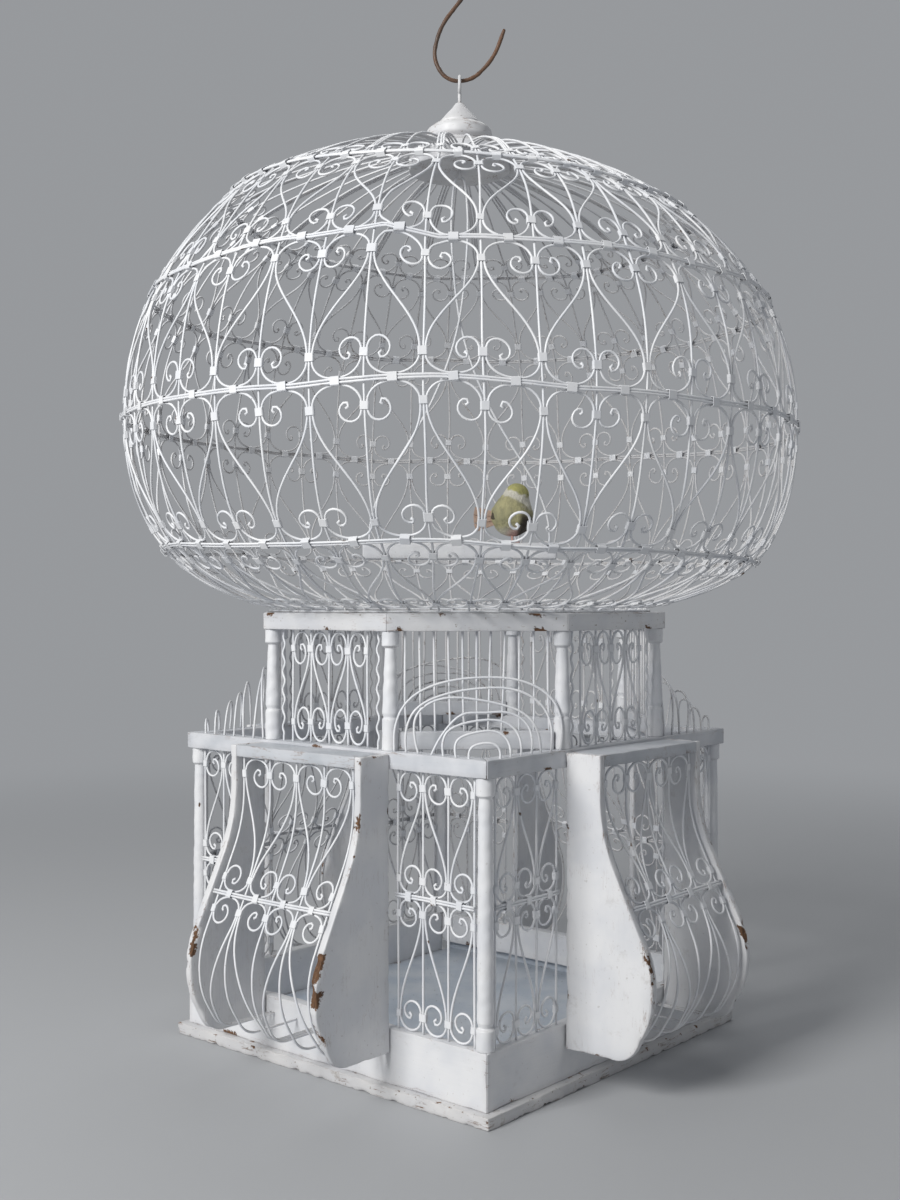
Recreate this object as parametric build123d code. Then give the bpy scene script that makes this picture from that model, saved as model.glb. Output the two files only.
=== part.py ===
from build123d import *
from math import asin, cos, pi, radians, sin, sqrt, tan
import os

# A hanging bird cage: a square house of painted boards with a bowed balcony in the
# middle of each side, an eight-sided neck on top of it, and a large dome of wire
# scrollwork that ends in a turned finial, an eye and a hook.
# Millimetres, +Z up, the origin at the centre of the base board's underside.
# The front faces -Y, the right side +X, the back +Y and the left side -X.

# ---------------------------------------------------------------- driving sizes
# Wire, and how wires and boards meet.
wire = 1.6              # diameter of the cage wire
scroll_sides = 6        # flat sides that stand in for the roundness of ribs and scrolls
tie_gap = 0.3           # air between two wires that a collar ties together
seat_gap = 0.3          # air between a piece and the round or loose seat that carries it

# Base board, plinth and sliding tray.
base_half = 150.0
base_height = 8.0
plinth_half = 144.0
plinth_height = 36.4
plinth_board = 9.0      # thickness of the plinth's boards
slot_height = 11.0      # slot under the back board, where the tray slides out
tray_thickness = 3.0
tray_play = 0.6         # air on each side of the tray
tray_lip = 2.5          # thickness of the upturned lip at the tray's back edge

# House: corner posts, the ledge on top of them, and the corner panels of wire.
house_height = 169.6    # from the plinth's top to the ledge's underside
post_radius = 6.0       # cap and foot of a corner post
post_shaft_radius = 4.8
ledge_half = 145.0
ledge_height = 11.6
ledge_width = 14.0
panel_setback = 4.5     # from the plinth's outer face to the middle of the wires
corner_uprights = 4
mid_rail_share = 0.517  # height of the double cross wire, as a share of the house

# Balconies.
balcony_half = 63.0     # half the width over the side boards
balcony_board = 5.5
balcony_reach = 172.5   # the straight upper part's distance from the cage's axis
belly_reach = 212.5     # the belly's distance from the cage's axis
belly_top = 90.0        # heights that shape the front edge of a side board
belly_bottom = 62.0
shoulder_height = 172.0
balcony_bottom = 29.0
balcony_top = 224.0
roof_thickness = 8.0
grille_inset = 4.0      # the grille lies this far inside the boards' front edges
balcony_uprights = 5
balcony_side_play = 4.5 # from the last upright to the side board
balcony_rail_drop = 95.0  # along the grille, from the roof to the double cross wire

# Neck: an octagon of turned posts under a beam.
neck_apothem = 145.0
neck_height = 78.4      # from the ledge's top to the beam's underside
neck_post_radius = 5.85
neck_block_radius = 5.6
neck_block_height = 21.0
neck_waist_radius = 3.7
beam_width = 14.0
beam_height = 12.0
corner_rail_height = 12.0
corner_rail_width = 9.0
corner_bars = 11
corner_bar_pitch = 9.5
neck_uprights = 5
neck_upright_pitch = 18.2
crimped_offset = 46.0   # from the middle of a face to its crimped wires
crimp_pitch = 6.5
crimp_depth = 1.1
door_play = 0.5         # air above and below the door
door_pin_depth = 5.0    # how deep the door's pivot wire stands in the wood
door_pin_play = 0.1

# Arches of wire over the ledge's corners.
arch_count = 7
arch_first = 64.0       # first foot, from the middle of the side
arch_pitch = 10.6
arch_line = 141.5       # distance of the feet from the cage's axis
arch_tallest = 48.0
arch_shortest = 9.5

# Dome: the ribs pass each ring at its radius and height.
rib_count = 44
rib_turn = 1.9          # degrees from the X axis to the first rib
ring_radii = (175.0, 231.0, 250.0, 222.0)
ring_heights = (607.0, 544.0, 455.0, 362.0)
foot_inset = 3.5        # the foot ring's distance inside the beam's outer face
rib_foot_run = 3.0      # the ribs stand on the beam this far inside the foot ring
dome_collar = 15.0      # from a ring to the collars that tie scrolls to a rib
panel_collar = 11.0     # the same in the flat panels and the balconies

# Top disc, finial, eye and hook.
disc_radius = 38.5
disc_height = 13.0
disc_bottom = 651.0
finial_height = 38.5
finial_foot = 30.0
finial_bulge = 24.8
finial_cone = 16.0
finial_tip = 4.0
eye_wire = 2.5
eye_radius = 6.05       # from the eye's centre to the middle of its wire
eye_rise = 14.5         # from the finial's tip to the eye's centre
eye_shank = 9.0         # how deep the eye's shank stands in the finial
hook_wire = 3.0
view_turn = 40.67       # degrees about Z from the X axis to the plane of hook and swing

# Swing with its perch board and the artificial bird.
staple_drop = 6.0
staple_half = 5.0
swing_wire = 1.8
perch_length = 147.0
perch_width = 20.0
perch_thickness = 12.5
perch_top = 368.0
swing_crossing = 539.0  # height at which the two halves of the swing's wire cross
bird_offset = 40.0
bird_height = 46.0
bird_radius = 16.0
head_radius = 9.5
tail_length = 24.0
tail_width = 8.0
tail_thickness = 3.0
leg_spread = 8.0
leg_thickness = 1.6

# ------------------------------------------------------------- values that follow
tie = wire + tie_gap
plinth_top = base_height + plinth_height
ledge_bottom = plinth_top + house_height
ledge_top = ledge_bottom + ledge_height
beam_bottom = ledge_top + neck_height
beam_top = beam_bottom + beam_height
mid_rail = plinth_top + mid_rail_share * house_height
post_place = plinth_half - post_radius
panel_plane = plinth_half - panel_setback
roof_bottom = balcony_top - roof_thickness
neck_plane = neck_apothem - beam_width / 2
neck_corner = neck_plane * tan(radians(22.5))
disc_top = disc_bottom + disc_height
finial_top = disc_top + finial_height
eye_height = finial_top + eye_rise
hook_height = eye_height + eye_radius - eye_wire / 2 - hook_wire / 2 - seat_gap
ring_edge = 1.5 * wire            # a scroll wire's middle, from the middle of a ring
wood_edge = wire / 2 + tie_gap    # a scroll wire's middle, from a board
rib_step = 360.0 / rib_count

os.makedirs("parts", exist_ok=True)


# ------------------------------------------------------------------ shared makers
def save(name, *pieces):
    """Write one sub-part as a file of separate solids."""
    solids = [solid for piece in pieces for solid in piece.solids()]
    export_step(Compound(children=solids), f"parts/{name}.step")


def around(piece, count, first=0.0):
    """Copies of a piece, evenly turned about the Z axis."""
    return [Rot(0, 0, first + 360.0 * turn / count) * piece for turn in range(count)]


def box_between(low, high):
    """A box given by its lowest and highest corners."""
    size = [b - a for a, b in zip(low, high)]
    middle = [(a + b) / 2 for a, b in zip(low, high)]
    return Pos(*middle) * Box(*size)


def straight_wire(start, end, diameter=wire):
    """A round wire with flat ends."""
    run = Vector(*end) - Vector(*start)
    section = Plane(origin=start, z_dir=run) * Circle(diameter / 2)
    return extrude(section, amount=run.length)


def bend_radii(points, wanted, share=0.47):
    """The wanted radius at each corner, kept within a share of the shorter run beside it."""
    radii = []
    for before, corner, after, radius in zip(points, points[1:], points[2:], wanted):
        arriving = corner - before
        leaving = after - corner
        turn = radians(arriving.get_angle(leaving))
        room = share * min(arriving.length, leaving.length) / tan(turn / 2)
        radii.append(min(radius, room))
    return radii


def many_sided(path):
    """The cage wire along a path, with flat sides inside its round outline."""
    section = RegularPolygon(wire / 2, scroll_sides)
    return sweep(Plane(origin=path @ 0, z_dir=path % 0) * section, path=path)


def bent_wire(points, wanted=None, diameter=wire):
    """A round wire along straight runs and tangent arcs."""
    points = [Vector(*point) for point in points]
    wanted = wanted or [1000.0] * (len(points) - 2)
    path = FilletPolyline(*points, radius=bend_radii(points, wanted))
    section = Plane(origin=path @ 0, z_dir=path % 0) * Circle(diameter / 2)
    return sweep(section, path=path)


def turned(profile):
    """A turned solid from (radius, height) points about the Z axis."""
    outline = [(radius, 0, height) for radius, height in profile]
    return revolve(make_face(Polyline(*outline, close=True)), axis=Axis.Z)


# A scroll, from its free end to the collar on its upright: distance from the upright
# across the gap, distance from the collar towards the board or ring, and bend radius.
scroll_curl = (
    (10.0, -0.2, 0.0),
    (8.4, -0.2, 1.3),
    (8.4, 3.4, 1.9),
    (15.6, 3.4, 5.0),
    (15.6, -9.0, 7.0),
    (0.0, -9.0, 8.2),
)
curl_reach = 15.6


def half_scroll(spot, gap, edge, collar):
    """Corners and radii of half an S-shaped wire, from its free end.

    spot(at_scroll, across, distance) gives the point that lies across from one of the
    gap's two uprights, at a distance from the ring or board. The wire curls beside one
    upright, runs along the ring and stands against the other upright at its collar.
    """
    shrink = min(1.0, (gap - 2 * tie - 1.4 * wire) / curl_reach)
    flare = 0.47 * (gap - 2 * tie)
    corners = []
    for across, towards, radius in scroll_curl:
        place = spot(True, tie + across * shrink, collar - towards * shrink)
        corners.append((place, radius * shrink))
    corners.append((spot(True, tie, edge), min(10.0, flare)))
    corners.append((spot(False, tie, edge), min(10.0, flare)))
    corners.append((spot(False, tie, collar + wire), 14.0))
    return corners


def wire_through(corners):
    """A wire through (point, radius) corners."""
    points = [place for place, radius in corners]
    radii = bend_radii(points, [radius for place, radius in corners][1:-1])
    return many_sided(FilletPolyline(*points, radius=radii))


# ------------------------------------------------------------------ base and tray
def mitred_frame(half, width, low, high):
    """Four rails of a square frame, mitred at the corners. The first is the front one."""
    outline = Polyline((-half, -half), (half, -half), (half - width, width - half),
                       (width - half, width - half), close=True)
    rail = Pos(0, 0, low) * extrude(make_face(outline), amount=high - low)
    return around(rail, 4)


base_board = box_between((-base_half, -base_half, 0), (base_half, base_half, base_height))
save("base_board", base_board)

plinth_boards = mitred_frame(plinth_half, plinth_board, base_height, plinth_top)
slot_top = base_height + slot_height
slot_half = plinth_half - plinth_board
plinth_boards[2] -= box_between((-plinth_half, slot_half / 2, base_height),
                                (plinth_half, plinth_half, slot_top))
for side, board in zip(("front", "right", "back", "left"), plinth_boards):
    save(f"plinth_board_{side}", board)

tray_half = slot_half - tray_play
tray_low = base_height + seat_gap
lip_front = plinth_half + tray_play
tray_plate = box_between((-tray_half, -tray_half, tray_low),
                         (tray_half, lip_front + tray_lip, tray_low + tray_thickness))
tray_edge = box_between((-tray_half, lip_front, tray_low),
                        (tray_half, lip_front + tray_lip, slot_top - tray_play))
save("tray", tray_plate + tray_edge)


# ------------------------------------------------------------ house: posts and ledge
def corner_post():
    """A turned post: a low foot, a shaft that tapers upwards, and a cap."""
    foot_height = 13.0
    cap_height = 11.0
    neck = post_shaft_radius - 0.5
    return turned((
        (0, 0), (post_radius, 0), (post_radius, foot_height),
        (neck, foot_height + 1), (post_shaft_radius + 0.5, foot_height + 4),
        (neck, house_height - cap_height - 1), (post_radius, house_height - cap_height),
        (post_radius, house_height), (0, house_height),
    ))


first_post = Pos(post_place, -post_place, plinth_top) * corner_post()
save("corner_posts", *around(first_post, 4))

ledge_rails = mitred_frame(ledge_half, ledge_width, ledge_bottom, ledge_top)


# ------------------------------------------------------------- flat scroll panels
def panel_places(first, last, count):
    """Places of the uprights, evenly spaced from the first to the last."""
    return [first + (last - first) * number / (count - 1) for number in range(count)]


def flat_spot(left, gap, scroll_on_left, edge_height, upward, plane):
    """Points in one gap of a flat panel that faces the front."""
    def spot(at_scroll, across, distance):
        from_left = at_scroll == scroll_on_left
        x = left + across if from_left else left + gap - across
        return Vector(x, -plane, edge_height + upward * distance)
    return spot


def flat_scrolls(places, plane, low, high, low_edge, high_edge):
    """One S-shaped wire in each gap, mirrored from gap to gap."""
    wires = []
    for number, (left, right) in enumerate(zip(places, places[1:])):
        gap = right - left
        upper_on_left = number % 2 == 0
        lower = flat_spot(left, gap, not upper_on_left, low, 1, plane)
        upper = flat_spot(left, gap, upper_on_left, high, -1, plane)
        corners = half_scroll(lower, gap, low_edge, panel_collar)
        corners += reversed(half_scroll(upper, gap, high_edge, panel_collar))
        wires.append(wire_through(corners))
    return wires


post_air = 1.3
corner_places = panel_places(balcony_half + 3.0, post_place - post_radius - post_air,
                             corner_uprights)
mirrored_places = [-place for place in reversed(corner_places)]
corner_upright_wires = []
corner_cross_wires = []
corner_scroll_wires = []
for places in (corner_places, mirrored_places):
    for x in places:
        corner_upright_wires.append(straight_wire((x, -panel_plane, plinth_top),
                                                  (x, -panel_plane, ledge_bottom)))
    for lift in (-tie / 2, tie / 2):
        cross_plane = -panel_plane - tie
        corner_cross_wires.append(straight_wire((places[0] - wire, cross_plane, mid_rail + lift),
                                                (places[-1] + wire / 2, cross_plane,
                                                 mid_rail + lift)))
    corner_scroll_wires += flat_scrolls(places, panel_plane, plinth_top, mid_rail,
                                        wood_edge, ring_edge)
    corner_scroll_wires += flat_scrolls(places, panel_plane, mid_rail, ledge_bottom,
                                        ring_edge, wood_edge)


def on_four_sides(pieces):
    """The pieces of one side, repeated on all four."""
    return [copy for piece in pieces for copy in around(piece, 4)]


save("corner_panel_uprights", *on_four_sides(corner_upright_wires))
save("corner_panel_cross_wires", *on_four_sides(corner_cross_wires))
save("corner_panel_scrolls", *on_four_sides(corner_scroll_wires))


# ------------------------------------------------------------------------ balconies
def balcony_edge(inset, top, back):
    """Corners of a balcony's front edge in the Y-Z plane, from the top to the back."""
    return [
        (0, -balcony_reach + inset, top),
        (0, -balcony_reach + inset, shoulder_height),
        (0, -belly_reach + inset, belly_top),
        (0, -belly_reach + inset + 0.5, belly_bottom),
        (0, -balcony_reach - 22 + inset, balcony_bottom + inset),
        (0, -back, balcony_bottom + inset),
    ]


edge_bends = (120.0, 60.0, 60.0, 18.0)
board_back = ledge_half + seat_gap

edge_points = [Vector(*corner) for corner in balcony_edge(0, balcony_top, board_back)]
board_edge = FilletPolyline(*edge_points, radius=bend_radii(edge_points, edge_bends))
board_rest = Polyline(edge_points[-1], (0, -board_back, balcony_top), edge_points[0])
board_face = make_face(board_edge.edges() + board_rest.edges())
side_board = extrude(board_face, amount=balcony_board, dir=(1, 0, 0))
inner_half = balcony_half - balcony_board
side_boards = [Pos(inner_half, 0, 0) * side_board, Pos(-balcony_half, 0, 0) * side_board]
roof_board = box_between((-inner_half, -balcony_reach, roof_bottom),
                         (inner_half, -board_back, balcony_top))

grille_points = [Vector(*corner)
                 for corner in balcony_edge(grille_inset, roof_bottom, plinth_half)]
grille_path = FilletPolyline(*grille_points, radius=bend_radii(grille_points, edge_bends))
grille_places = panel_places(-inner_half + balcony_side_play,
                             inner_half - balcony_side_play, balcony_uprights)


def grille_upright(x):
    """One wire that follows the balcony's bowed front, with flat ends."""
    section = Plane(origin=grille_path @ 0, z_dir=grille_path % 0) * Circle(wire / 2)
    return Pos(x, 0, 0) * sweep(section, path=grille_path)


def grille_point(x, down, lift=0.0):
    """The point on the grille that lies a distance down it, lifted off its outer side."""
    place = grille_path.position_at(down, position_mode=PositionMode.LENGTH)
    along = grille_path.tangent_at(down, position_mode=PositionMode.LENGTH)
    outward = Vector(0, along.Z, -along.Y)
    return Vector(x, 0, 0) + place + outward * lift


def grille_spot(left, gap, scroll_on_left, edge_down, direction):
    """Points in one gap of the grille, from a cross wire or board at edge_down."""
    def spot(at_scroll, across, distance):
        from_left = at_scroll == scroll_on_left
        x = left + across if from_left else left + gap - across
        return grille_point(x, edge_down + direction * distance)
    return spot


def grille_scrolls():
    """S-shaped wires above the cross wire, and below it wires with one scroll each."""
    wires = []
    bottom = grille_path.length
    for number, (left, right) in enumerate(zip(grille_places, grille_places[1:])):
        gap = right - left
        lower_on_left = number % 2 == 0
        upper = grille_spot(left, gap, not lower_on_left, 0, 1)
        middle = grille_spot(left, gap, lower_on_left, balcony_rail_drop, -1)
        corners = half_scroll(upper, gap, wood_edge, panel_collar)
        corners += reversed(half_scroll(middle, gap, ring_edge, panel_collar))
        wires.append(wire_through(corners))

        below = grille_spot(left, gap, lower_on_left, balcony_rail_drop, 1)
        corners = half_scroll(below, gap, ring_edge, panel_collar)
        tail = bottom - balcony_rail_drop
        for share, across in ((0.46, 2.6), (0.62, 1.6), (0.72, 1.6), (0.8, 1.6)):
            corners.append((below(True, tie * across, share * tail), 30.0))
        end = below(True, tie * 1.6, tail)
        corners.append((end, 0.0))
        wires.append(wire_through(corners))
    return wires


cross_wires = []
for slide in (-tie / 2, tie / 2):
    cross_place = grille_point(0, balcony_rail_drop + slide, tie)
    reach = Vector(inner_half - 1.0, 0, 0)
    cross_wires.append(straight_wire(tuple(cross_place - reach), tuple(cross_place + reach)))
balcony_uprights_wires = [grille_upright(x) for x in grille_places]
balcony_scroll_wires = grille_scrolls()
for number, side in enumerate(("front", "right", "back", "left")):
    turn = Rot(0, 0, 90.0 * number)
    save(f"balcony_{side}_side_boards", *[turn * board for board in side_boards])
    save(f"balcony_{side}_roof", turn * roof_board)
    save(f"balcony_{side}_uprights",
         *[turn * piece for piece in balcony_uprights_wires + cross_wires])
    save(f"balcony_{side}_scrolls", *[turn * piece for piece in balcony_scroll_wires])


# ----------------------------------------------------------------------------- neck
def neck_post():
    """A turned post: a block, a notch, a shaft that narrows upwards, and a cap."""
    cap_height = 9.4
    notch = neck_block_radius - 1.0
    return turned((
        (0, 0), (neck_block_radius, 0), (neck_block_radius, neck_block_height),
        (notch, neck_block_height + 1), (neck_block_radius - 0.1, neck_block_height + 3.5),
        (neck_waist_radius, neck_height - cap_height - 1),
        (neck_post_radius, neck_height - cap_height), (neck_post_radius, neck_height),
        (0, neck_height),
    ))


neck_radius = neck_plane / cos(radians(22.5))
first_neck_post = Pos(neck_radius, 0, ledge_top) * neck_post()
save("neck_posts", *around(first_neck_post, 8, 22.5))

outer = neck_apothem
inner = neck_apothem - beam_width
outer_half = outer * tan(radians(22.5))
inner_half_side = inner * tan(radians(22.5))
beam_outline = Polyline((-outer_half, -outer), (outer_half, -outer),
                        (inner_half_side, -inner), (-inner_half_side, -inner), close=True)
beam_segment = Pos(0, 0, beam_bottom) * extrude(make_face(beam_outline), amount=beam_height)
beam_segments = around(beam_segment, 8)

rail_half = neck_corner - neck_post_radius - seat_gap
rail_top = ledge_top + seat_gap + corner_rail_height
corner_rail = box_between(
    (-rail_half, -neck_plane - corner_rail_width / 2, ledge_top + seat_gap),
    (rail_half, -neck_plane + corner_rail_width / 2, rail_top))
save("neck_corner_rails", *around(corner_rail, 4, 45.0))

bars = []
for number in range(corner_bars):
    x = (number - (corner_bars - 1) / 2) * corner_bar_pitch
    bars.append(straight_wire((x, -neck_plane, rail_top), (x, -neck_plane, beam_bottom)))
save("neck_corner_bars", *[copy for bar in bars for copy in around(bar, 4, 45.0)])


def crimped_wire(x):
    """An upright wire bent into small even waves, with straight ends."""
    straight = 4.0
    waves = int((neck_height - 2 * straight) / crimp_pitch)
    points = [(x, -neck_plane, ledge_top), (x, -neck_plane, ledge_top + straight)]
    for number in range(waves - 1):
        side = crimp_depth if number % 2 else -crimp_depth
        height = ledge_top + straight + (number + 1) * (neck_height - 2 * straight) / waves
        points.append((x + side, -neck_plane, height))
    points.append((x, -neck_plane, beam_bottom - straight))
    points.append((x, -neck_plane, beam_bottom))
    return bent_wire(points)


crimped = [crimped_wire(-crimped_offset), crimped_wire(crimped_offset)]
save("neck_crimped_wires", *on_four_sides(crimped))

neck_half = neck_upright_pitch * (neck_uprights - 1) / 2
neck_places = panel_places(-neck_half, neck_half, neck_uprights)
fixed_uprights = [straight_wire((x, -neck_plane, ledge_top), (x, -neck_plane, beam_bottom))
                  for x in neck_places]
fixed_scrolls = flat_scrolls(neck_places, neck_plane, ledge_top, beam_bottom,
                             wood_edge, wood_edge)
save("neck_panel_uprights",
     *[Rot(0, 0, 90.0 * turn) * piece for piece in fixed_uprights for turn in (1, 2, 3)])
save("neck_panel_scrolls",
     *[Rot(0, 0, 90.0 * turn) * piece for piece in fixed_scrolls for turn in (1, 2, 3)])

# The front panel is the door. It turns on its first upright, which stands in the wood.
pin_x = neck_places[0]
door_pin = straight_wire((pin_x, -neck_plane, ledge_top - door_pin_depth),
                         (pin_x, -neck_plane, beam_bottom + door_pin_depth))
pin_bore = straight_wire((pin_x, -neck_plane, ledge_top - door_pin_depth - door_play),
                         (pin_x, -neck_plane, beam_bottom + door_pin_depth + door_play),
                         wire + 2 * door_pin_play)
ledge_rails[0] -= pin_bore
beam_segments[0] -= pin_bore
door_low = ledge_top + door_play
door_high = beam_bottom - door_play
door_uprights = [straight_wire((x, -neck_plane, door_low), (x, -neck_plane, door_high))
                 for x in neck_places[1:]]
door_scrolls = flat_scrolls(neck_places, neck_plane, door_low, door_high,
                            wood_edge, wood_edge)
save("ledge_rails", *ledge_rails)
save("neck_beam", *beam_segments)
save("door_pivot_wire", door_pin)
save("door_uprights", *door_uprights)
save("door_scrolls", *door_scrolls)


# --------------------------------------------------------------------- corner arches
def corner_arch(number):
    """A basket-handle arch across the front right corner, with both feet on the ledge."""
    foot = arch_first + number * arch_pitch
    rise = arch_tallest + (arch_shortest - arch_tallest) * number / (arch_count - 1)
    half = (arch_line - foot) / sqrt(2)
    middle = (arch_line + foot) / 2
    across = Vector(1, 1, 0) / sqrt(2)
    centre = Vector(middle, -middle, ledge_top)
    shape = ((-half, 0), (-half, 0.62 * rise), (-0.52 * half, rise), (0.52 * half, rise),
             (half, 0.62 * rise), (half, 0))
    return bent_wire([centre + across * side + Vector(0, 0, height) for side, height in shape])


arches = [corner_arch(number) for number in range(arch_count)]
save("corner_arches", *on_four_sides(arches))


# ----------------------------------------------------------------------------- dome
foot_ring = neck_apothem - foot_inset
foot_height = beam_top + wire / 2 + tie_gap + 1.3 * tie


def rib_nodes():
    """Points of a rib in the X-Z plane: at the disc, at each ring, and at its foot."""
    nodes = [Vector(disc_radius + seat_gap, 0, disc_bottom + disc_height * 0.55)]
    nodes += [Vector(radius, 0, height) for radius, height in zip(ring_radii, ring_heights)]
    nodes.append(Vector(foot_ring, 0, foot_height))
    return nodes


def smooth_corners(nodes, first_way, last_way):
    """Corners of a chain of tangent arcs through the nodes, two arcs between each pair.

    The way at an inner node is that of a circle through it and its two neighbours.
    Between two nodes, both corners lie one length along the ways, chosen so that the
    two arcs meet halfway between the corners.
    """
    ways = [first_way.normalized()]
    for before, node, after in zip(nodes, nodes[1:], nodes[2:]):
        come = node - before
        leave = after - node
        ways.append((come.normalized() * leave.length
                     + leave.normalized() * come.length).normalized())
    ways.append(last_way.normalized())
    corners = []
    for start, end, start_way, end_way in zip(nodes, nodes[1:], ways, ways[1:]):
        chord = end - start
        both = start_way + end_way
        spread = 2 * (1 - start_way.dot(end_way))
        middle = chord.dot(both)
        length = (sqrt(middle ** 2 + spread * chord.length ** 2) - middle) / spread
        corners += [start + start_way * length, end - end_way * length]
    return corners


nodes = rib_nodes()
rib_corners = smooth_corners(nodes, Vector(1, 0, -0.16), Vector(-1, 0, -0.2))
foot = Vector(foot_ring - rib_foot_run, 0, beam_top)
knee = Vector(foot.X, 0, foot_height - 0.2 * rib_foot_run)
rib_points = [nodes[0], *rib_corners, nodes[-1], knee, foot]
rib_points = [point for number, point in enumerate(rib_points)
              if number != len(rib_points) - 3]
rib_bends = bend_radii(rib_points, [1000.0] * (len(rib_points) - 3) + [1.6 * wire], 0.495)
rib_path = FilletPolyline(*rib_points, radius=rib_bends)
rib = many_sided(rib_path)
save("dome_ribs", *around(rib, rib_count, rib_turn))

ring_lengths = [rib_path.param_at_point(node) * rib_path.length for node in nodes]


def dome_place(down):
    """The point on the first rib at a distance down from the disc."""
    return rib_path.position_at(down, position_mode=PositionMode.LENGTH)


def dome_outward(down):
    """The direction out of the dome at a distance down the rib."""
    along = rib_path.tangent_at(down, position_mode=PositionMode.LENGTH)
    return Vector(-along.Z, 0, along.X)


def ring_wires(down):
    """Two round wires outside the ribs, one above the other along the rib."""
    along = rib_path.tangent_at(down, position_mode=PositionMode.LENGTH)
    wires = []
    for slide in (-tie / 2, tie / 2):
        place = dome_place(down) + dome_outward(down) * tie + along * slide
        wires.append(Pos(0, 0, place.Z) * Torus(place.X, wire / 2))
    return wires


for number, down in enumerate(ring_lengths[1:5], start=1):
    save(f"dome_ring_{number}", *ring_wires(down))

foot_ring_height = beam_top + wire / 2 + tie_gap
save("dome_foot_ring", *[Pos(0, 0, foot_ring_height) * Torus(foot_ring + slide, wire / 2)
                         for slide in (0.0, tie)])


def dome_gap(down):
    """The distance between two ribs at a distance down from the disc."""
    return 2 * pi * dome_place(down).X / rib_count


def dome_spot(scroll_on_first, edge_down, direction):
    """Points in the gap after the first rib, from a ring at edge_down."""
    def spot(at_scroll, across, distance):
        place = dome_place(edge_down + direction * distance)
        shift = across / place.X
        from_first = at_scroll == scroll_on_first
        turn = shift if from_first else radians(rib_step) - shift
        return Vector(place.X * cos(turn), place.X * sin(turn), place.Z)
    return spot


def band_wire(band, mirrored):
    """The wire of one gap in a band of the dome. Band 0 reaches from the disc to ring 1."""
    top, bottom = ring_lengths[band], ring_lengths[band + 1]
    scroll_on_first = (band % 2 == 1) != mirrored
    lower = dome_spot(not scroll_on_first, bottom, -1)
    corners = half_scroll(lower, dome_gap(bottom), ring_edge, dome_collar)
    length = bottom - top
    if band == 0:
        disc_share = dome_gap(0) / 2
        for share in (0.35, 0.6, 0.8, 1.0):
            across = tie + (disc_share - tie) * share
            corners.append((lower(False, across, share * length), 1000.0))
        return wire_through(corners)
    upper = dome_spot(scroll_on_first, top, 1)
    half_gap = dome_gap((top + bottom) / 2) / 2
    corners.append((lower(True, half_gap, length / 2), 1000.0))
    corners += reversed(half_scroll(upper, dome_gap(top), ring_edge, dome_collar))
    return wire_through(corners)


for band in range(5):
    wires = []
    for mirrored in (False, True):
        first = rib_turn + (rib_step if mirrored else 0.0)
        wires += around(band_wire(band, mirrored), rib_count // 2, first)
    save(f"dome_scrolls_{band + 1}", *wires)

# ------------------------------------------------------------- disc, finial and eye
disc = Pos(0, 0, disc_bottom + disc_height / 2) * Cylinder(disc_radius, disc_height)
save("top_disc", fillet(disc.edges().filter_by(GeomType.CIRCLE), 1.5))

bulge_height = 14.5
finial_low = Polyline((0, 0, 0), (finial_foot, 0, 0), (finial_foot, 0, 2.5),
                      (finial_bulge - 3.5, 0, bulge_height - 6))
finial_arc = ThreePointArc(finial_low @ 1, (finial_bulge, 0, bulge_height),
                           (finial_bulge - 4.5, 0, bulge_height + 6))
finial_high = Polyline(finial_arc @ 1, (finial_cone, 0, bulge_height + 7),
                       (finial_cone, 0, bulge_height + 9), (finial_tip, 0, finial_height),
                       (0, 0, finial_height), (0, 0, 0))
finial_face = make_face(finial_low.edges() + finial_arc.edges() + finial_high.edges())
finial = Pos(0, 0, disc_top) * revolve(finial_face, axis=Axis.Z)
shank_radius = eye_wire / 2
shank_bottom = finial_top - eye_shank
finial -= Pos(0, 0, shank_bottom + eye_shank / 2) * Cylinder(shank_radius + 0.1, eye_shank + 0.6)
save("finial", finial)

facing = Rot(0, 0, view_turn)
eye_loop = Pos(0, 0, eye_height) * (Rot(0, 90, 0) * Torus(eye_radius, shank_radius))
shank_top = eye_height - eye_radius
shank = straight_wire((0, 0, shank_bottom), (0, 0, shank_top), eye_wire)
save("hanging_eye", facing * (eye_loop + shank))

hook_corners = (
    (34, 39), (26, 17), (9, 0), (-10, 0), (-20.5, 17), (-15, 41), (2, 63), (13, 82), (9, 103),
    (-7, 111), (-22, 101), (-24, 86),
)
hook = bent_wire([(side, 0, hook_height + rise) for side, rise in hook_corners],
                 diameter=hook_wire)
save("hook", facing * hook)

# ------------------------------------------------------------ swing, perch and bird
staple_bottom = disc_bottom - staple_drop
staple = bent_wire([(0, -staple_half, disc_bottom), (0, -staple_half, staple_bottom),
                    (0, staple_half, staple_bottom), (0, staple_half, disc_bottom)],
                   [2 * wire] * 2)
save("swing_staple", facing * staple)

swing_top = staple_bottom + (wire + swing_wire) / 2 + seat_gap
leg = perch_length / 2 - 5.0
side_step = swing_wire / 2 + 0.2
half_swing = (
    (leg, side_step, perch_top), (leg, side_step, perch_top + 7),
    (0.0, side_step, swing_crossing), (-5.0, side_step, swing_crossing + 42),
    (-4.0, 0.0, swing_top),
)
swing_points = list(half_swing)
swing_points += [(-x, -y, z) for x, y, z in reversed(half_swing)]
save("swing_wire", facing * bent_wire(swing_points, diameter=swing_wire))

perch_bottom = perch_top - perch_thickness
perch = box_between((-perch_length / 2, -perch_width / 2, perch_bottom),
                    (perch_length / 2, perch_width / 2, perch_top))
save("perch_board", facing * fillet(perch.edges(), 1.5))

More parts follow.
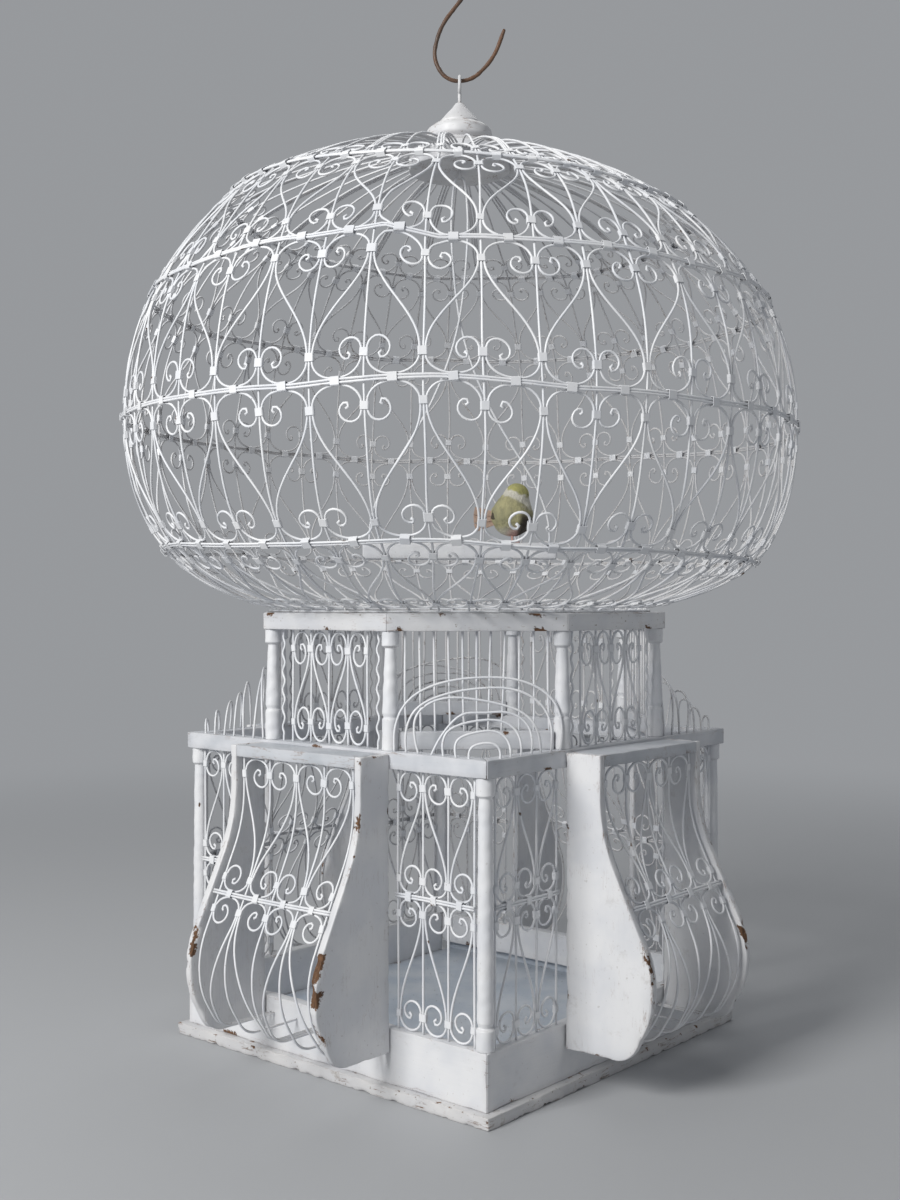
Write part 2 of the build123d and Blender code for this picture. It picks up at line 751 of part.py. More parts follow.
# The bird: a round belly that narrows to a round head, with its tail in one piece, on
# two thin legs. The line from belly to head leans forwards.
belly_low = 5.0         # from the perch to the belly's underside
lean = 13.0
neck_length = bird_height - belly_low - bird_radius - head_radius
slope = asin((bird_radius - head_radius) / neck_length)


def round_spot(centre, radius, angle):
    """A point on a circle about the body's own axis, at an angle above its middle."""
    return (radius * cos(angle), 0, centre + radius * sin(angle))


belly_mid = round_spot(0, bird_radius, (slope - pi / 2) / 2)
belly = ThreePointArc((0, 0, -bird_radius), belly_mid, round_spot(0, bird_radius, slope))
head_mid = round_spot(neck_length, head_radius, (slope + pi / 2) / 2)
head = ThreePointArc(round_spot(neck_length, head_radius, slope), head_mid,
                     (0, 0, neck_length + head_radius))
nape = Line(belly @ 1, head @ 0)
spine = Line(head @ 1, belly @ 0)
body_face = make_face([*belly.edges(), *nape.edges(), *head.edges(), *spine.edges()])
body = Rot(0, lean, 0) * revolve(body_face, axis=Axis.Z)
tail = Pos(-bird_radius - tail_length / 4, 0, 0) * Box(tail_length, tail_width, tail_thickness)
bird_place = facing * Pos(bird_offset, 0, perch_top)
body_place = Pos(0, 0, belly_low + bird_radius)
save("bird_body", bird_place * (body_place * (body + tail)))
legs = [straight_wire((0, side, 0), (0, side, belly_low + bird_radius / 2), leg_thickness)
        for side in (-leg_spread / 2, leg_spread / 2)]
save("bird_legs", *[bird_place * (leg - body_place * body) for leg in legs])
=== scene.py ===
import math

import bpy
import numpy as np
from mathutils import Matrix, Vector


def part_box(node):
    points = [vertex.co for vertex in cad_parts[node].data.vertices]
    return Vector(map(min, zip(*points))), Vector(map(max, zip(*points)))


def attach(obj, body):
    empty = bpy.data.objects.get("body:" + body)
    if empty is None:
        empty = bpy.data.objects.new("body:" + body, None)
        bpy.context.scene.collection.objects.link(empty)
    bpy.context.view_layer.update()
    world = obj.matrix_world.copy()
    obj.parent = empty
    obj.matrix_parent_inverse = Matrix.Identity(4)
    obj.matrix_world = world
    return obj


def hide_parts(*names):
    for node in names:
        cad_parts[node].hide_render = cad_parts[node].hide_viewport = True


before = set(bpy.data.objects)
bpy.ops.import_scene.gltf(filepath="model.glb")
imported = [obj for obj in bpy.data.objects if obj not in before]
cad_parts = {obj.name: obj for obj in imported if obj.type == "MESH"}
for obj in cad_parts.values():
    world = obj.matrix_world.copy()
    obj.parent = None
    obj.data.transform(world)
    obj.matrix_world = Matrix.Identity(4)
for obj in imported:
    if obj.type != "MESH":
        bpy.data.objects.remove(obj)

# Sizes are in millimetres until a mesh is made. The cage's sides face -Y, +X, +Y and -X.
MILLIMETRE = 0.001
scene = bpy.context.scene
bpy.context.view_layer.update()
rng = np.random.default_rng(1870)


# ------------------------------------------------------------------ camera and studio
# A level camera looks along the cage's diagonal. The cage stands on a pale floor, in
# soft light from one large lamp on its left, a weaker one on its right and the sky.
view_turn = math.radians(40.67)
view_way = Vector((-math.sin(view_turn), math.cos(view_turn), 0))
view_right = Vector((math.cos(view_turn), math.sin(view_turn), 0))
camera_away, camera_left, camera_height = 1.0618, 0.0073, 0.3247

camera_data = bpy.data.cameras.new("camera")
camera_data.sensor_width = 36.0
camera_data.lens = 41.82
camera = bpy.data.objects.new("camera", camera_data)
scene.collection.objects.link(camera)
camera.location = (view_way * -camera_away - view_right * camera_left
                   + Vector((0, 0, camera_height)))
camera.rotation_euler = view_way.to_track_quat("-Z", "Y").to_euler()
scene.camera = camera
scene.view_settings.view_transform = "Standard"


def soft_lamp(name, sideways, forward, height, size, power, colour):
    """A square lamp aimed at the cage's middle, placed in metres from the cage's axis."""
    data = bpy.data.lights.new(name, "AREA")
    data.size = size
    data.energy = power
    data.color = colour
    lamp = bpy.data.objects.new(name, data)
    scene.collection.objects.link(lamp)
    lamp.location = view_right * sideways - view_way * forward + Vector((0, 0, height))
    target = Vector((0, 0, 0.4))
    lamp.rotation_euler = (target - lamp.location).to_track_quat("-Z", "Y").to_euler()


soft_lamp("key_lamp", sideways=-1.35, forward=1.45, height=1.3, size=0.8, power=46.0,
          colour=(1.0, 0.99, 0.97))
soft_lamp("fill_lamp", sideways=1.7, forward=1.2, height=0.8, size=1.4, power=1.5,
          colour=(0.93, 0.96, 1.0))
soft_lamp("top_lamp", sideways=0.1, forward=-0.9, height=1.9, size=1.2, power=7.0,
          colour=(1.0, 1.0, 1.0))


def add(tree, kind, inputs=None, **settings):
    """A shader node. Each input is a constant, or another node's output to link."""
    node = tree.nodes.new("ShaderNode" + kind)
    for key, value in settings.items():
        setattr(node, key, value)
    for key, value in (inputs or {}).items():
        if isinstance(value, bpy.types.NodeSocket):
            tree.links.new(value, node.inputs[key])
        else:
            node.inputs[key].default_value = value
    return node


def ramp(tree, value, low, high, **settings):
    """A value stretched so that low becomes 0 and high becomes 1."""
    return add(tree, "MapRange", {"Value": value, "From Min": low, "From Max": high},
               **settings).outputs[0]


sky_colour = (0.31, 0.32, 0.335, 1)
world = bpy.data.worlds.new("studio")
scene.world = world
world.use_nodes = True
tree = world.node_tree
tree.nodes.clear()
rays = add(tree, "LightPath")
seen = add(tree, "Math", {0: rays.outputs["Is Camera Ray"], 1: rays.outputs["Is Glossy Ray"]},
           operation="MAXIMUM")
seen = add(tree, "Math", {0: seen.outputs[0], 1: rays.outputs["Is Transmission Ray"]},
           operation="MAXIMUM")
backdrop = add(tree, "Background", {"Color": sky_colour, "Strength": 1.0})
sky_light = add(tree, "Background", {"Color": (0.93, 0.96, 1.0, 1), "Strength": 0.22})
either = add(tree, "MixShader", {0: seen.outputs[0], 1: sky_light.outputs[0],
                                 2: backdrop.outputs[0]})
add(tree, "OutputWorld", {"Surface": either.outputs[0]})

# The floor is a wide disc that fades into the backdrop's colour away from the cage.
floor_reach = 9.0
fade_start, fade_end = 0.45, 1.9
disc_turn = np.linspace(0, 2 * math.pi, 96, endpoint=False)
floor_mesh = bpy.data.meshes.new("studio_floor")
floor_points = np.stack([np.cos(disc_turn), np.sin(disc_turn), 0 * disc_turn], axis=1)
floor_mesh.from_pydata(floor_points * floor_reach, [], [list(range(96))])
studio_floor = bpy.data.objects.new("studio_floor", floor_mesh)
scene.collection.objects.link(studio_floor)
floor_material = bpy.data.materials.new("pale_floor")
floor_material.use_nodes = True
tree = floor_material.node_tree
floor_shader = tree.nodes["Principled BSDF"]
floor_shader.inputs["Base Color"].default_value = (0.42, 0.43, 0.445, 1)
floor_shader.inputs["Roughness"].default_value = 0.75
spot = add(tree, "TexCoord").outputs["Object"]
from_cage = add(tree, "VectorMath", {0: spot}, operation="LENGTH").outputs["Value"]
far = ramp(tree, from_cage, fade_start, fade_end, interpolation_type="SMOOTHSTEP")
haze = add(tree, "Emission", {"Color": sky_colour})
floor_mix = add(tree, "MixShader", {0: far, 1: floor_shader.outputs[0], 2: haze.outputs[0]})
floor_out = [node for node in tree.nodes if node.type == "OUTPUT_MATERIAL"][0]
tree.links.new(floor_mix.outputs[0], floor_out.inputs["Surface"])
floor_mesh.materials.append(floor_material)


# ------------------------------------------------------------------------ base board
# A square board under the whole cage, painted white with the rest. Its edge has lost
# flakes of paint and splinters all round, and holds most of the dirt.
def corners(node):
    """The lowest and highest corners of a CAD node, in millimetres."""
    low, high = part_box(node)
    return np.array(low) / MILLIMETRE, np.array(high) / MILLIMETRE


def unit(vectors):
    """Vectors made one long."""
    return vectors / np.linalg.norm(vectors, axis=-1, keepdims=True)


def ripple(points, length, seed, waves=18):
    """Smooth noise of about -1 to 1: a sum of sine waves in random directions.

    Each wave is about as long as length, with its own direction and start.
    """
    dice = np.random.default_rng(seed)
    ways = unit(dice.normal(size=(waves, 3)))
    ways *= (2 * math.pi / length) * dice.uniform(0.6, 1.5, (waves, 1))
    starts = dice.uniform(0, 2 * math.pi, waves)
    return np.sin(points @ ways.T + starts).sum(-1) * 1.3 * math.sqrt(0.5 / waves)


def smoothstep(values, low, high):
    """0 below low, 1 above high and an S-shaped curve between them."""
    share = np.clip((values - low) / (high - low), 0, 1)
    return share * share * (3 - 2 * share)


def stations(length, step, radius):
    """Grid lines along one side of a block: close together over its rounded edges."""
    inner = max(2, int(round((length - 2 * radius) / step)) + 1)
    curve = radius * (1 - np.cos(np.radians((0, 30, 60))))
    return np.concatenate([curve, np.linspace(radius, length - radius, inner),
                           (length - curve)[::-1]])


edge_width = 1.6                # how far from an edge its wear and dirt fade


def block(size, step, radius, bite=0.0, bite_length=14.0, seed=0, chips=()):
    """A closed box surface with rounded, worn edges, from 0 to its size along each axis.

    A grid covers the six faces. Each point is pulled in to the given distance from a
    smaller box inside, which rounds all edges. Near the edges smooth noise then bites
    into the block by up to bite, and each chip is a (place, radius, depth) hollow.
    Returns points, faces and marks: edge is 1 at an edge, bare is 1 where paint is lost.
    """
    lines = [stations(length, step, radius) for length in size]
    number = np.full([len(line) for line in lines], -1)
    skin = np.ones(number.shape, bool)
    skin[1:-1, 1:-1, 1:-1] = False
    number[skin] = np.arange(skin.sum())
    points = np.stack(np.meshgrid(*lines, indexing="ij"), axis=-1)[skin]
    faces = []
    for axis in range(3):
        for end in (0, -1):
            sheet = np.take(number, end, axis=axis)
            quads = np.stack([sheet[:-1, :-1], sheet[:-1, 1:], sheet[1:, 1:], sheet[1:, :-1]],
                             axis=-1).reshape(-1, 4)
            faces.append(quads if (axis == 1) == (end == -1) else quads[:, ::-1])
    size = np.array(size, float)
    heart = np.clip(points, radius, size - radius)
    away = points - heart
    points = heart + away * (radius / np.maximum(np.linalg.norm(away, axis=1), 1e-9))[:, None]
    nearest = np.sort(np.minimum(points, size - points), axis=1)[:, 1]
    edge = np.exp(-nearest / edge_width)
    noise = ripple(points, bite_length, seed) + 0.5 * ripple(points, bite_length / 3, seed + 1)
    bites = bite * smoothstep(noise, -0.2, 1.3) * np.exp(-nearest / (1.5 * bite + 0.5))
    bare = smoothstep(noise, 1.1, 1.6) * smoothstep(edge, 0.3, 0.7)
    for place, reach, depth in chips:
        distance = np.linalg.norm(points - place, axis=1) / reach
        hollow = 1 - smoothstep(distance + 0.25 * noise, 0.55, 1.05)
        bites = np.maximum(bites, depth * hollow * (0.75 + 0.25 * noise))
        bare = np.maximum(bare, hollow)
    margin = np.minimum(size / 2, 5.0)
    inward = np.clip(points, margin, size - margin) - points
    inward /= np.maximum(np.linalg.norm(inward, axis=1), 1e-9)[:, None]
    return points + inward * bites[:, None], faces, {"edge": edge, "bare": bare}


def turned_about(points, turn):
    """Points turned about the Z axis by an angle in radians."""
    x, y, z = points[..., 0], points[..., 1], points[..., 2]
    c, s = np.cos(turn), np.sin(turn)
    return np.stack([x * c - y * s, x * s + y * c, z], axis=-1)


def moved(shape, offset, turn=0.0):
    """A shape moved by an offset, then turned about the Z axis."""
    points, faces, marks = shape
    return turned_about(points + offset, turn), faces, marks


def joined(shapes):
    """Several shapes as one. A shape is its points, groups of faces and marks."""
    starts = np.cumsum([0] + [len(shape[0]) for shape in shapes])
    faces = [group + start for shape, start in zip(shapes, starts) for group in shape[1]]
    marks = {key: np.concatenate([shape[2][key] for shape in shapes]) for key in shapes[0][2]}
    return np.concatenate([shape[0] for shape in shapes]), faces, marks


def piece(name, shape, material, body="cage", nodes=(), smooth=True):
    """Makes the mesh of a shape. It moves with a body and stands for CAD nodes."""
    points, faces, marks = shape
    mesh = bpy.data.meshes.new(name)
    mesh.from_pydata(points * MILLIMETRE, [], [face for group in faces for face in group.tolist()])
    for key, values in marks.items():
        mark = mesh.attributes.new(key, "FLOAT", "POINT")
        mark.data.foreach_set("value", np.asarray(values, np.float32))
    mesh.polygons.foreach_set("use_smooth", np.full(len(mesh.polygons), smooth))
    mesh.materials.append(material)
    made = bpy.data.objects.new(name, mesh)
    scene.collection.objects.link(made)
    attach(made, body)
    if nodes:
        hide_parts(*nodes)
    return made


def mix(tree, share, first, second):
    """The mixed colour of two colours."""
    return add(tree, "Mix", {0: share, 6: first, 7: second}, data_type="RGBA").outputs[2]


def calculate(tree, operation, *values):
    """One step of arithmetic on values. MULTIPLY_ADD adds the third one."""
    return add(tree, "Math", dict(enumerate(values)), operation=operation).outputs[0]


def noise_between(tree, place, scale, low, high, detail=3.0, roughness=0.55):
    """Noise stretched so that low becomes 0 and high becomes 1."""
    noise = add(tree, "TexNoise", {"Vector": place, "Scale": scale, "Detail": detail,
                                   "Roughness": roughness})
    return ramp(tree, noise.outputs["Fac"], low, high, interpolation_type="SMOOTHSTEP")


def marked(tree, name):
    """The value of one of a mesh's marks."""
    return add(tree, "Attribute", attribute_name=name).outputs["Fac"]


def old_paint_group():
    """House paint that was brushed on long ago, with its tones, dirt, cracks and losses.

    Place is in millimetres. Strokes is Place, squeezed across the brush's way. Cracks
    lie where slow noise passes its middle value, in patches where the surface is darkened.
    The darkening input is the share of the surface that is grimy, which on a wire's inner
    side also holds painted shade, and Bare is 1 where paint is lost.
    """
    group = bpy.data.node_groups.new("old_paint", "ShaderNodeTree")
    for name, kind in (("Place", "Vector"), ("Strokes", "Vector"), ("Paint", "Color"),
                       ("Second Tone", "Color"), ("Grime And Shade", "Color"), ("Under Paint", "Color"),
                       ("Dirt And Shade", "Float"), ("Specks", "Float"), ("Bare", "Float")):
        group.interface.new_socket(name, in_out="INPUT", socket_type="NodeSocket" + kind)
    for name, kind in (("Color", "Color"), ("Roughness", "Float"), ("Height", "Float")):
        group.interface.new_socket(name, in_out="OUTPUT", socket_type="NodeSocket" + kind)
    given = group.nodes.new("NodeGroupInput").outputs
    place = given["Place"]
    tone = noise_between(group, place, 0.028, 0.35, 0.68)
    colour = mix(group, tone, given["Paint"], given["Second Tone"])
    strokes = noise_between(group, given["Strokes"], 0.55, 0.25, 0.75)
    streak = calculate(group, "MULTIPLY", strokes, 0.15)
    stain = noise_between(group, place, 0.05, 0.46, 0.82, 8.0, 0.75)
    stain = calculate(group, "MAXIMUM", stain, 0.3)
    # On wires the darkening share also holds painted shade on their inner sides, and it is mixed
    # in with the grime colour.
    grime_and_shade = calculate(group, "MULTIPLY", stain, given["Dirt And Shade"])
    speckle = noise_between(group, place, 0.45, 0.72, 0.77, 1.0)
    speckle = calculate(group, "MULTIPLY", speckle, given["Specks"])
    winding = add(group, "TexNoise", {"Vector": given["Strokes"], "Scale": 0.16, "Detail": 5.0,
                                      "Roughness": 0.65}).outputs["Fac"]
    from_middle = calculate(group, "ABSOLUTE", calculate(group, "SUBTRACT", winding, 0.5))
    crack = ramp(group, from_middle, 0.012, 0.004)
    crack = calculate(group, "MULTIPLY", crack, noise_between(group, place, 0.06, 0.5, 0.6, 2.0))
    crack = calculate(group, "MULTIPLY", crack, ramp(group, given["Dirt And Shade"], 0.35, 0.8))
    for share, tone in ((streak, "Second Tone"), (grime_and_shade, "Grime And Shade"), (speckle, "Grime And Shade"),
                        (crack, "Under Paint")):
        colour = mix(group, share, colour, given[tone])
    torn = noise_between(group, place, 0.5, 0.3, 0.7, 4.0, 0.7)
    torn = calculate(group, "SUBTRACT", torn, 0.5)
    lost = ramp(group, calculate(group, "MULTIPLY_ADD", torn, 0.7, given["Bare"]), 0.42, 0.6)
    grain = noise_between(group, given["Strokes"], 1.3, 0.3, 0.7, 5.0, 0.7)
    wood = mix(group, grain, given["Under Paint"], (0.055, 0.028, 0.016, 1))
    colour = mix(group, lost, colour, wood)
    rough = calculate(group, "MULTIPLY_ADD", grime_and_shade, 0.25, 0.42)
    rough = calculate(group, "MAXIMUM", rough, calculate(group, "MULTIPLY", lost, 0.85))
    height = calculate(group, "MULTIPLY", strokes, 0.35)
    height = calculate(group, "SUBTRACT", height, lost)
    height = calculate(group, "SUBTRACT", height, calculate(group, "MULTIPLY", crack, 0.8))
    out = group.nodes.new("NodeGroupOutput")
    for name, value in (("Color", colour), ("Roughness", rough), ("Height", height)):
        group.links.new(value, out.inputs[name])
    return group


old_paint = old_paint_group()
white_paint = (0.82, 0.83, 0.85, 1)
grey_paint = (0.72, 0.74, 0.78, 1)
# This brown is grime on the boards. On the wires' inner sides it is also painted shade.
brown_grime_and_shade = (0.20, 0.155, 0.11, 1)
bare_wood = (0.19, 0.095, 0.045, 1)


def painted(name, squeeze=(1.0, 1.0, 1.0), paint=white_paint, second=grey_paint,
            grime_and_shade_colour=brown_grime_and_shade, under=bare_wood, dirt=0.3, specks=0.22, relief=0.16):
    """A material of old paint. squeeze shrinks the strokes' pattern along their way."""
    material = bpy.data.materials.new(name)
    material.use_nodes = True
    tree = material.node_tree
    shader = tree.nodes["Principled BSDF"]
    spot = add(tree, "TexCoord").outputs["Object"]
    scaled = add(tree, "Mapping", {"Vector": spot, "Scale": (1000, 1000, 1000)}).outputs[0]
    strokes = add(tree, "Mapping", {"Vector": scaled, "Scale": squeeze}).outputs[0]
    grubby = calculate(tree, "MULTIPLY_ADD", marked(tree, "edge"), 0.35, dirt)
    worn = add(tree, "Group", {"Place": scaled, "Strokes": strokes, "Paint": paint,
                               "Second Tone": second, "Grime And Shade": grime_and_shade_colour, "Under Paint": under,
                               "Dirt And Shade": grubby, "Specks": specks, "Bare": marked(tree, "bare")},
               node_tree=old_paint).outputs
    bump = add(tree, "Bump", {"Height": worn["Height"], "Strength": 0.6,
                              "Distance": relief * MILLIMETRE})
    tree.links.new(worn["Color"], shader.inputs["Base Color"])
    tree.links.new(worn["Roughness"], shader.inputs["Roughness"])
    tree.links.new(bump.outputs[0], shader.inputs["Normal"])
    return material


base_low, base_high = corners("base_board")
base_block = block(base_high - base_low, step=2.4, radius=0.7, bite=1.3, bite_length=13.0,
                   seed=11)
piece("base", moved(base_block, base_low),
      painted("base_paint", (0.08, 0.08, 1.6), dirt=0.9, specks=0.8, relief=0.35),
      nodes=["base_board"])


# ------------------------------------------------------------------------ plinth
# Four boards on edge, mitred at the corners and nailed to the base board. The back one
# has a slot under it for the tray. Their upper edges carry the posts and wires.
def mitred_rail(half, width, low, high, turn, seed, sides=4, **wear):
    """One rail of a frame with equal sides. Its ends follow the corners' mitres.

    The rail is a worn block whose length shrinks towards the middle of the frame.
    """
    mitre = math.tan(math.pi / sides)
    length = 2 * half * mitre
    points, faces, marks = block((length, width, high - low), step=4.0, radius=0.7,
                                 seed=seed, **wear)
    inward = points[:, 1]
    x = (2 * points[:, 0] / length - 1) * (half - inward) * mitre
    rail = np.stack([x, inward - half, points[:, 2] + low], axis=-1)
    return turned_about(rail, turn), faces, marks


plinth_low, plinth_high = corners("plinth_board_front")
plinth_half = -plinth_low[1]
plinth_top = plinth_high[2]
board_thick = plinth_high[1] - plinth_low[1]
slot_height = 11.0
level_strokes = (0.1, 0.1, 1.0)
quarter = math.pi / 2
side_names = ("front", "right", "back", "left")
for number, side in enumerate(side_names):
    low = base_high[2] + (slot_height if side == "back" else 0.0)
    board = mitred_rail(plinth_half, board_thick, low, plinth_top, quarter * number,
                        20 + number, bite=0.7, bite_length=30.0)
    paint = painted(f"plinth_paint_{side}", level_strokes, dirt=0.35)
    piece(f"plinth_{side}", board, paint, nodes=[f"plinth_board_{side}"])


# -------------------------------------------------------------------------- tray
# A thin board that slides in over the base board through the back slot. It is painted
# bluish grey, its upturned lip closes the slot, and dark specks lie on it.
tray_low, tray_high = corners("tray")
lip_thick = 2.5
tray_thick = 3.0
tray_size = tray_high - tray_low
plate = block((tray_size[0], tray_size[1], tray_thick), step=6.0, radius=0.5, seed=31)
lip = block((tray_size[0], lip_thick, tray_size[2]), step=4.0, radius=0.5, bite=0.4, seed=32)
lip = moved(lip, (tray_low[0], tray_high[1] - lip_thick, tray_low[2]))
floor_paint = painted("tray_paint", (0.2, 1.0, 1.0), paint=(0.46, 0.52, 0.60, 1),
                      second=(0.58, 0.62, 0.67, 1), grime_and_shade_colour=(0.05, 0.045, 0.04, 1), dirt=0.28,
                      specks=1.0)
piece("tray_board", joined([moved(plate, tray_low), lip]), floor_paint, "tray_body", ["tray"])


# ------------------------------------------------------------------ posts and ledge
# Four turned posts stand on the plinth and carry a mitred frame of flat rails. They are
# turned from one dowel each, glued and nailed, and painted thickly.
def spline_weights(knots, count):
    """Weights that turn points at the knots into count places on a smooth curve.

    The curve is the natural cubic spline: bends are solved from the points' differences,
    and each place mixes two points and their two bends.
    """
    size = len(knots)
    step = np.diff(knots)
    inner = np.arange(1, size - 1)
    left = np.eye(size)
    right = np.zeros((size, size))
    left[inner, inner - 1] = step[:-1]
    left[inner, inner] = 2 * (step[:-1] + step[1:])
    left[inner, inner + 1] = step[1:]
    right[inner, inner - 1] = 6 / step[:-1]
    right[inner, inner] = -6 / step[:-1] - 6 / step[1:]
    right[inner, inner + 1] = 6 / step[1:]
    bends = np.linalg.solve(left, right)
    places = np.linspace(knots[0], knots[-1], count)
    before = np.clip(np.searchsorted(knots, places, "right") - 1, 0, size - 2)
    wide = step[before][:, None]
    a = (knots[before + 1] - places)[:, None] / wide
    b = 1 - a
    same = np.eye(size)
    return (a * same[before] + b * same[before + 1]
            + ((a ** 3 - a) * bends[before] + (b ** 3 - b) * bends[before + 1]) * wide ** 2 / 6)


def lengths_along(points):
    """The distance along a chain of points, from its first one."""
    steps = np.linalg.norm(np.diff(points, axis=0), axis=1)
    return np.concatenate([[0.0], np.cumsum(steps)])


def smooth_line(points, count):
    """Evenly spaced places on a smooth curve through points."""
    points = np.array(points, float)
    return spline_weights(lengths_along(points), count) @ points


def ring_quads(first, sides, step):
    """The faces between rings of points, whose first points are step apart."""
    here = np.arange(sides)
    after = (here + 1) % sides
    return np.stack([first + here, first + after, first + step + after, first + step + here],
                    axis=-1).reshape(-1, 4)


def lathe(profile, sides=28, rough=0.0, seed=0, ring_step=1.4):
    """A turned shape: the (radius, height) profile is carried round the Z axis.

    Straight stretches are divided into short ones. Both ends close in a pole, and smooth
    noise makes the paint a little uneven.
    """
    profile = np.array(profile, float)
    along = lengths_along(profile)
    places = np.unique(np.concatenate([along, np.arange(0, along[-1], ring_step)]))
    radius = np.interp(places, along, profile[:, 0])
    height = np.interp(places, along, profile[:, 1])
    turn = np.linspace(0, 2 * math.pi, sides, endpoint=False)
    rings = np.stack([radius[:, None] * np.cos(turn), radius[:, None] * np.sin(turn),
                      height[:, None] + 0 * turn], axis=-1)
    rings[..., :2] *= 1 + rough * ripple(rings, 9.0, seed)[..., None] / max(profile[:, 0])
    points = np.concatenate([rings.reshape(-1, 3), [[0, 0, height[0]], [0, 0, height[-1]]]])
    quads = ring_quads(np.arange(len(places) - 1)[:, None] * sides, sides, sides)
    ring = np.arange(sides)
    last = (len(places) - 1) * sides
    poles = np.concatenate([
        np.stack([np.full(sides, len(points) - 2), (ring + 1) % sides, ring], axis=1),
        np.stack([np.full(sides, len(points) - 1), last + ring, last + (ring + 1) % sides],
                 axis=1)])
    slope = np.abs(np.gradient(radius, places + np.arange(len(places)) * 1e-9))
    edge = np.concatenate([np.repeat(smoothstep(slope, 0.3, 1.0), sides), [0, 0]])
    noise = ripple(points, 7.0, seed + 5)
    bare = smoothstep(noise + 0.4 * edge, 1.9, 2.3)
    return points, [quads, poles], {"edge": edge, "bare": bare}


def softened(profile, radius=0.7):
    """A profile whose inner corners are cut by two short facets each."""
    profile = np.array(profile, float)
    out = [profile[0]]
    for before, corner, after in zip(profile, profile[1:], profile[2:]):
        for other, share in ((before, 1.0), (before, 0.35), (after, 0.35), (after, 1.0)):
            way = other - corner
            length = np.linalg.norm(way)
            out.append(corner + way / length * min(radius * share, 0.45 * length))
    out.append(profile[-1])
    return out


post_high = corners("corner_posts")[1]
ledge_half, _, ledge_top = corners("ledge_rails")[1]
ledge_bottom = post_high[2]
ledge_width = 14.0
post_radius = 6.0
post_place = post_high[0] - post_radius
house_height = ledge_bottom - plinth_top
post_profile = softened((
    (0, 0), (post_radius, 0), (post_radius, 13), (4.4, 14.4), (5.3, 17.5), (5.2, 60),
    (4.5, 150), (4.2, house_height - 12.5), (5.9, house_height - 11), (post_radius, house_height),
    (0, house_height)))
posts = [moved(lathe(post_profile, rough=0.16, seed=40 + number),
               (post_place, -post_place, plinth_top), quarter * number) for number in range(4)]
upright_strokes = (1.0, 1.0, 0.12)
turned_paint = painted("post_paint", upright_strokes, dirt=0.3)
piece("turned_corner_posts", joined(posts), turned_paint, nodes=["corner_posts"])

ledge_paint = painted("ledge_paint", level_strokes, paint=grey_paint,
                      second=(0.55, 0.58, 0.63, 1), dirt=0.35)
rails = [mitred_rail(ledge_half, ledge_width, ledge_bottom, ledge_top, quarter * number,
                     50 + number, bite=0.6, bite_length=26.0) for number in range(4)]
piece("ledge", joined(rails), ledge_paint, nodes=["ledge_rails"])


# --------------------------------------------------------------- house: corner panels
# Beside each post a panel of iron wire closes the house: straight uprights, a double
# wire across the middle, and S-shaped wires with a scroll at each end. Folded strips of
# tin tie them together, and everything is painted over in place.
wire = 1.6
tie = 1.78                      # between the middles of two wires that a collar ties
wood_edge = 1.0                 # from a board to the middle of a wire beside it
ring_edge = 2.0                 # from the middle of a double wire to the wire beside it
pair_slides = (-wire / 2 - 0.05, wire / 2 + 0.05)       # a double wire's two middles
# A collar's half sizes around three wires, two wires, and a double wire with another.
three_wires, two_wires, double_wires = (2.4, 1.0), (1.6, 1.0), (2.6, 1.8)
collar_width = 4.6
uneven_paint = 0.07             # the share by which paint makes a wire thicker or thinner
hand_spread = 0.05              # how differently collars lean, in radians, and are sized


def tubes(lines, outward, radius=wire / 2, sides=8, end_width=1.0):
    """Wires along lines: a ring of points stands square to each place on each line.

    A ring starts in the outward direction and turns towards the direction that is square
    to it and to the line. Smooth noise makes the paint's thickness uneven, and end_width
    widens the last few places, where a wire's free end was hammered.
    """
    copies, places = lines.shape[:2]
    along = unit(np.gradient(lines, axis=1))
    outward = unit(outward - (outward * along).sum(-1, keepdims=True) * along)
    beside = np.cross(along, outward)
    turn = np.linspace(0, 2 * math.pi, sides, endpoint=False)
    thick = radius * (1 + uneven_paint * ripple(lines, 5.0, 3, 10))[..., None, None]
    index = np.minimum(np.arange(places), np.arange(places)[::-1])
    flat = (1 + (end_width - 1) * np.exp(-index / 1.2))[None, :, None, None]
    rings = (lines[:, :, None] + thick * (np.cos(turn)[:, None] * outward[:, :, None] / flat ** 0.5
                                          + np.sin(turn)[:, None] * beside[:, :, None] * flat))
    first = (np.arange(copies)[:, None, None] * places
             + np.arange(places - 1)[None, :, None]) * sides
    here = np.arange(sides)
    quads = ring_quads(first, sides, sides)
    starts = (np.arange(copies) * places * sides)[:, None]
    ends = starts + (places - 1) * sides
    # The side of each wire that faces the cage's middle is marked inner. The wire paint darkens it
    # with brown, partly as grime and partly as painted shade.
    inner_shade_and_grime = np.broadcast_to(smoothstep(-np.cos(turn), -0.2, 0.9), rings.shape[:3]).ravel()
    points = rings.reshape(-1, 3)
    bare = smoothstep(ripple(points, 11.0, 8) + 0.6 * ripple(points, 3.5, 9), 2.3, 2.8)
    marks = {"inner": inner_shade_and_grime, "bare": bare}
    return points, [quads, starts + here[::-1], ends + here], marks


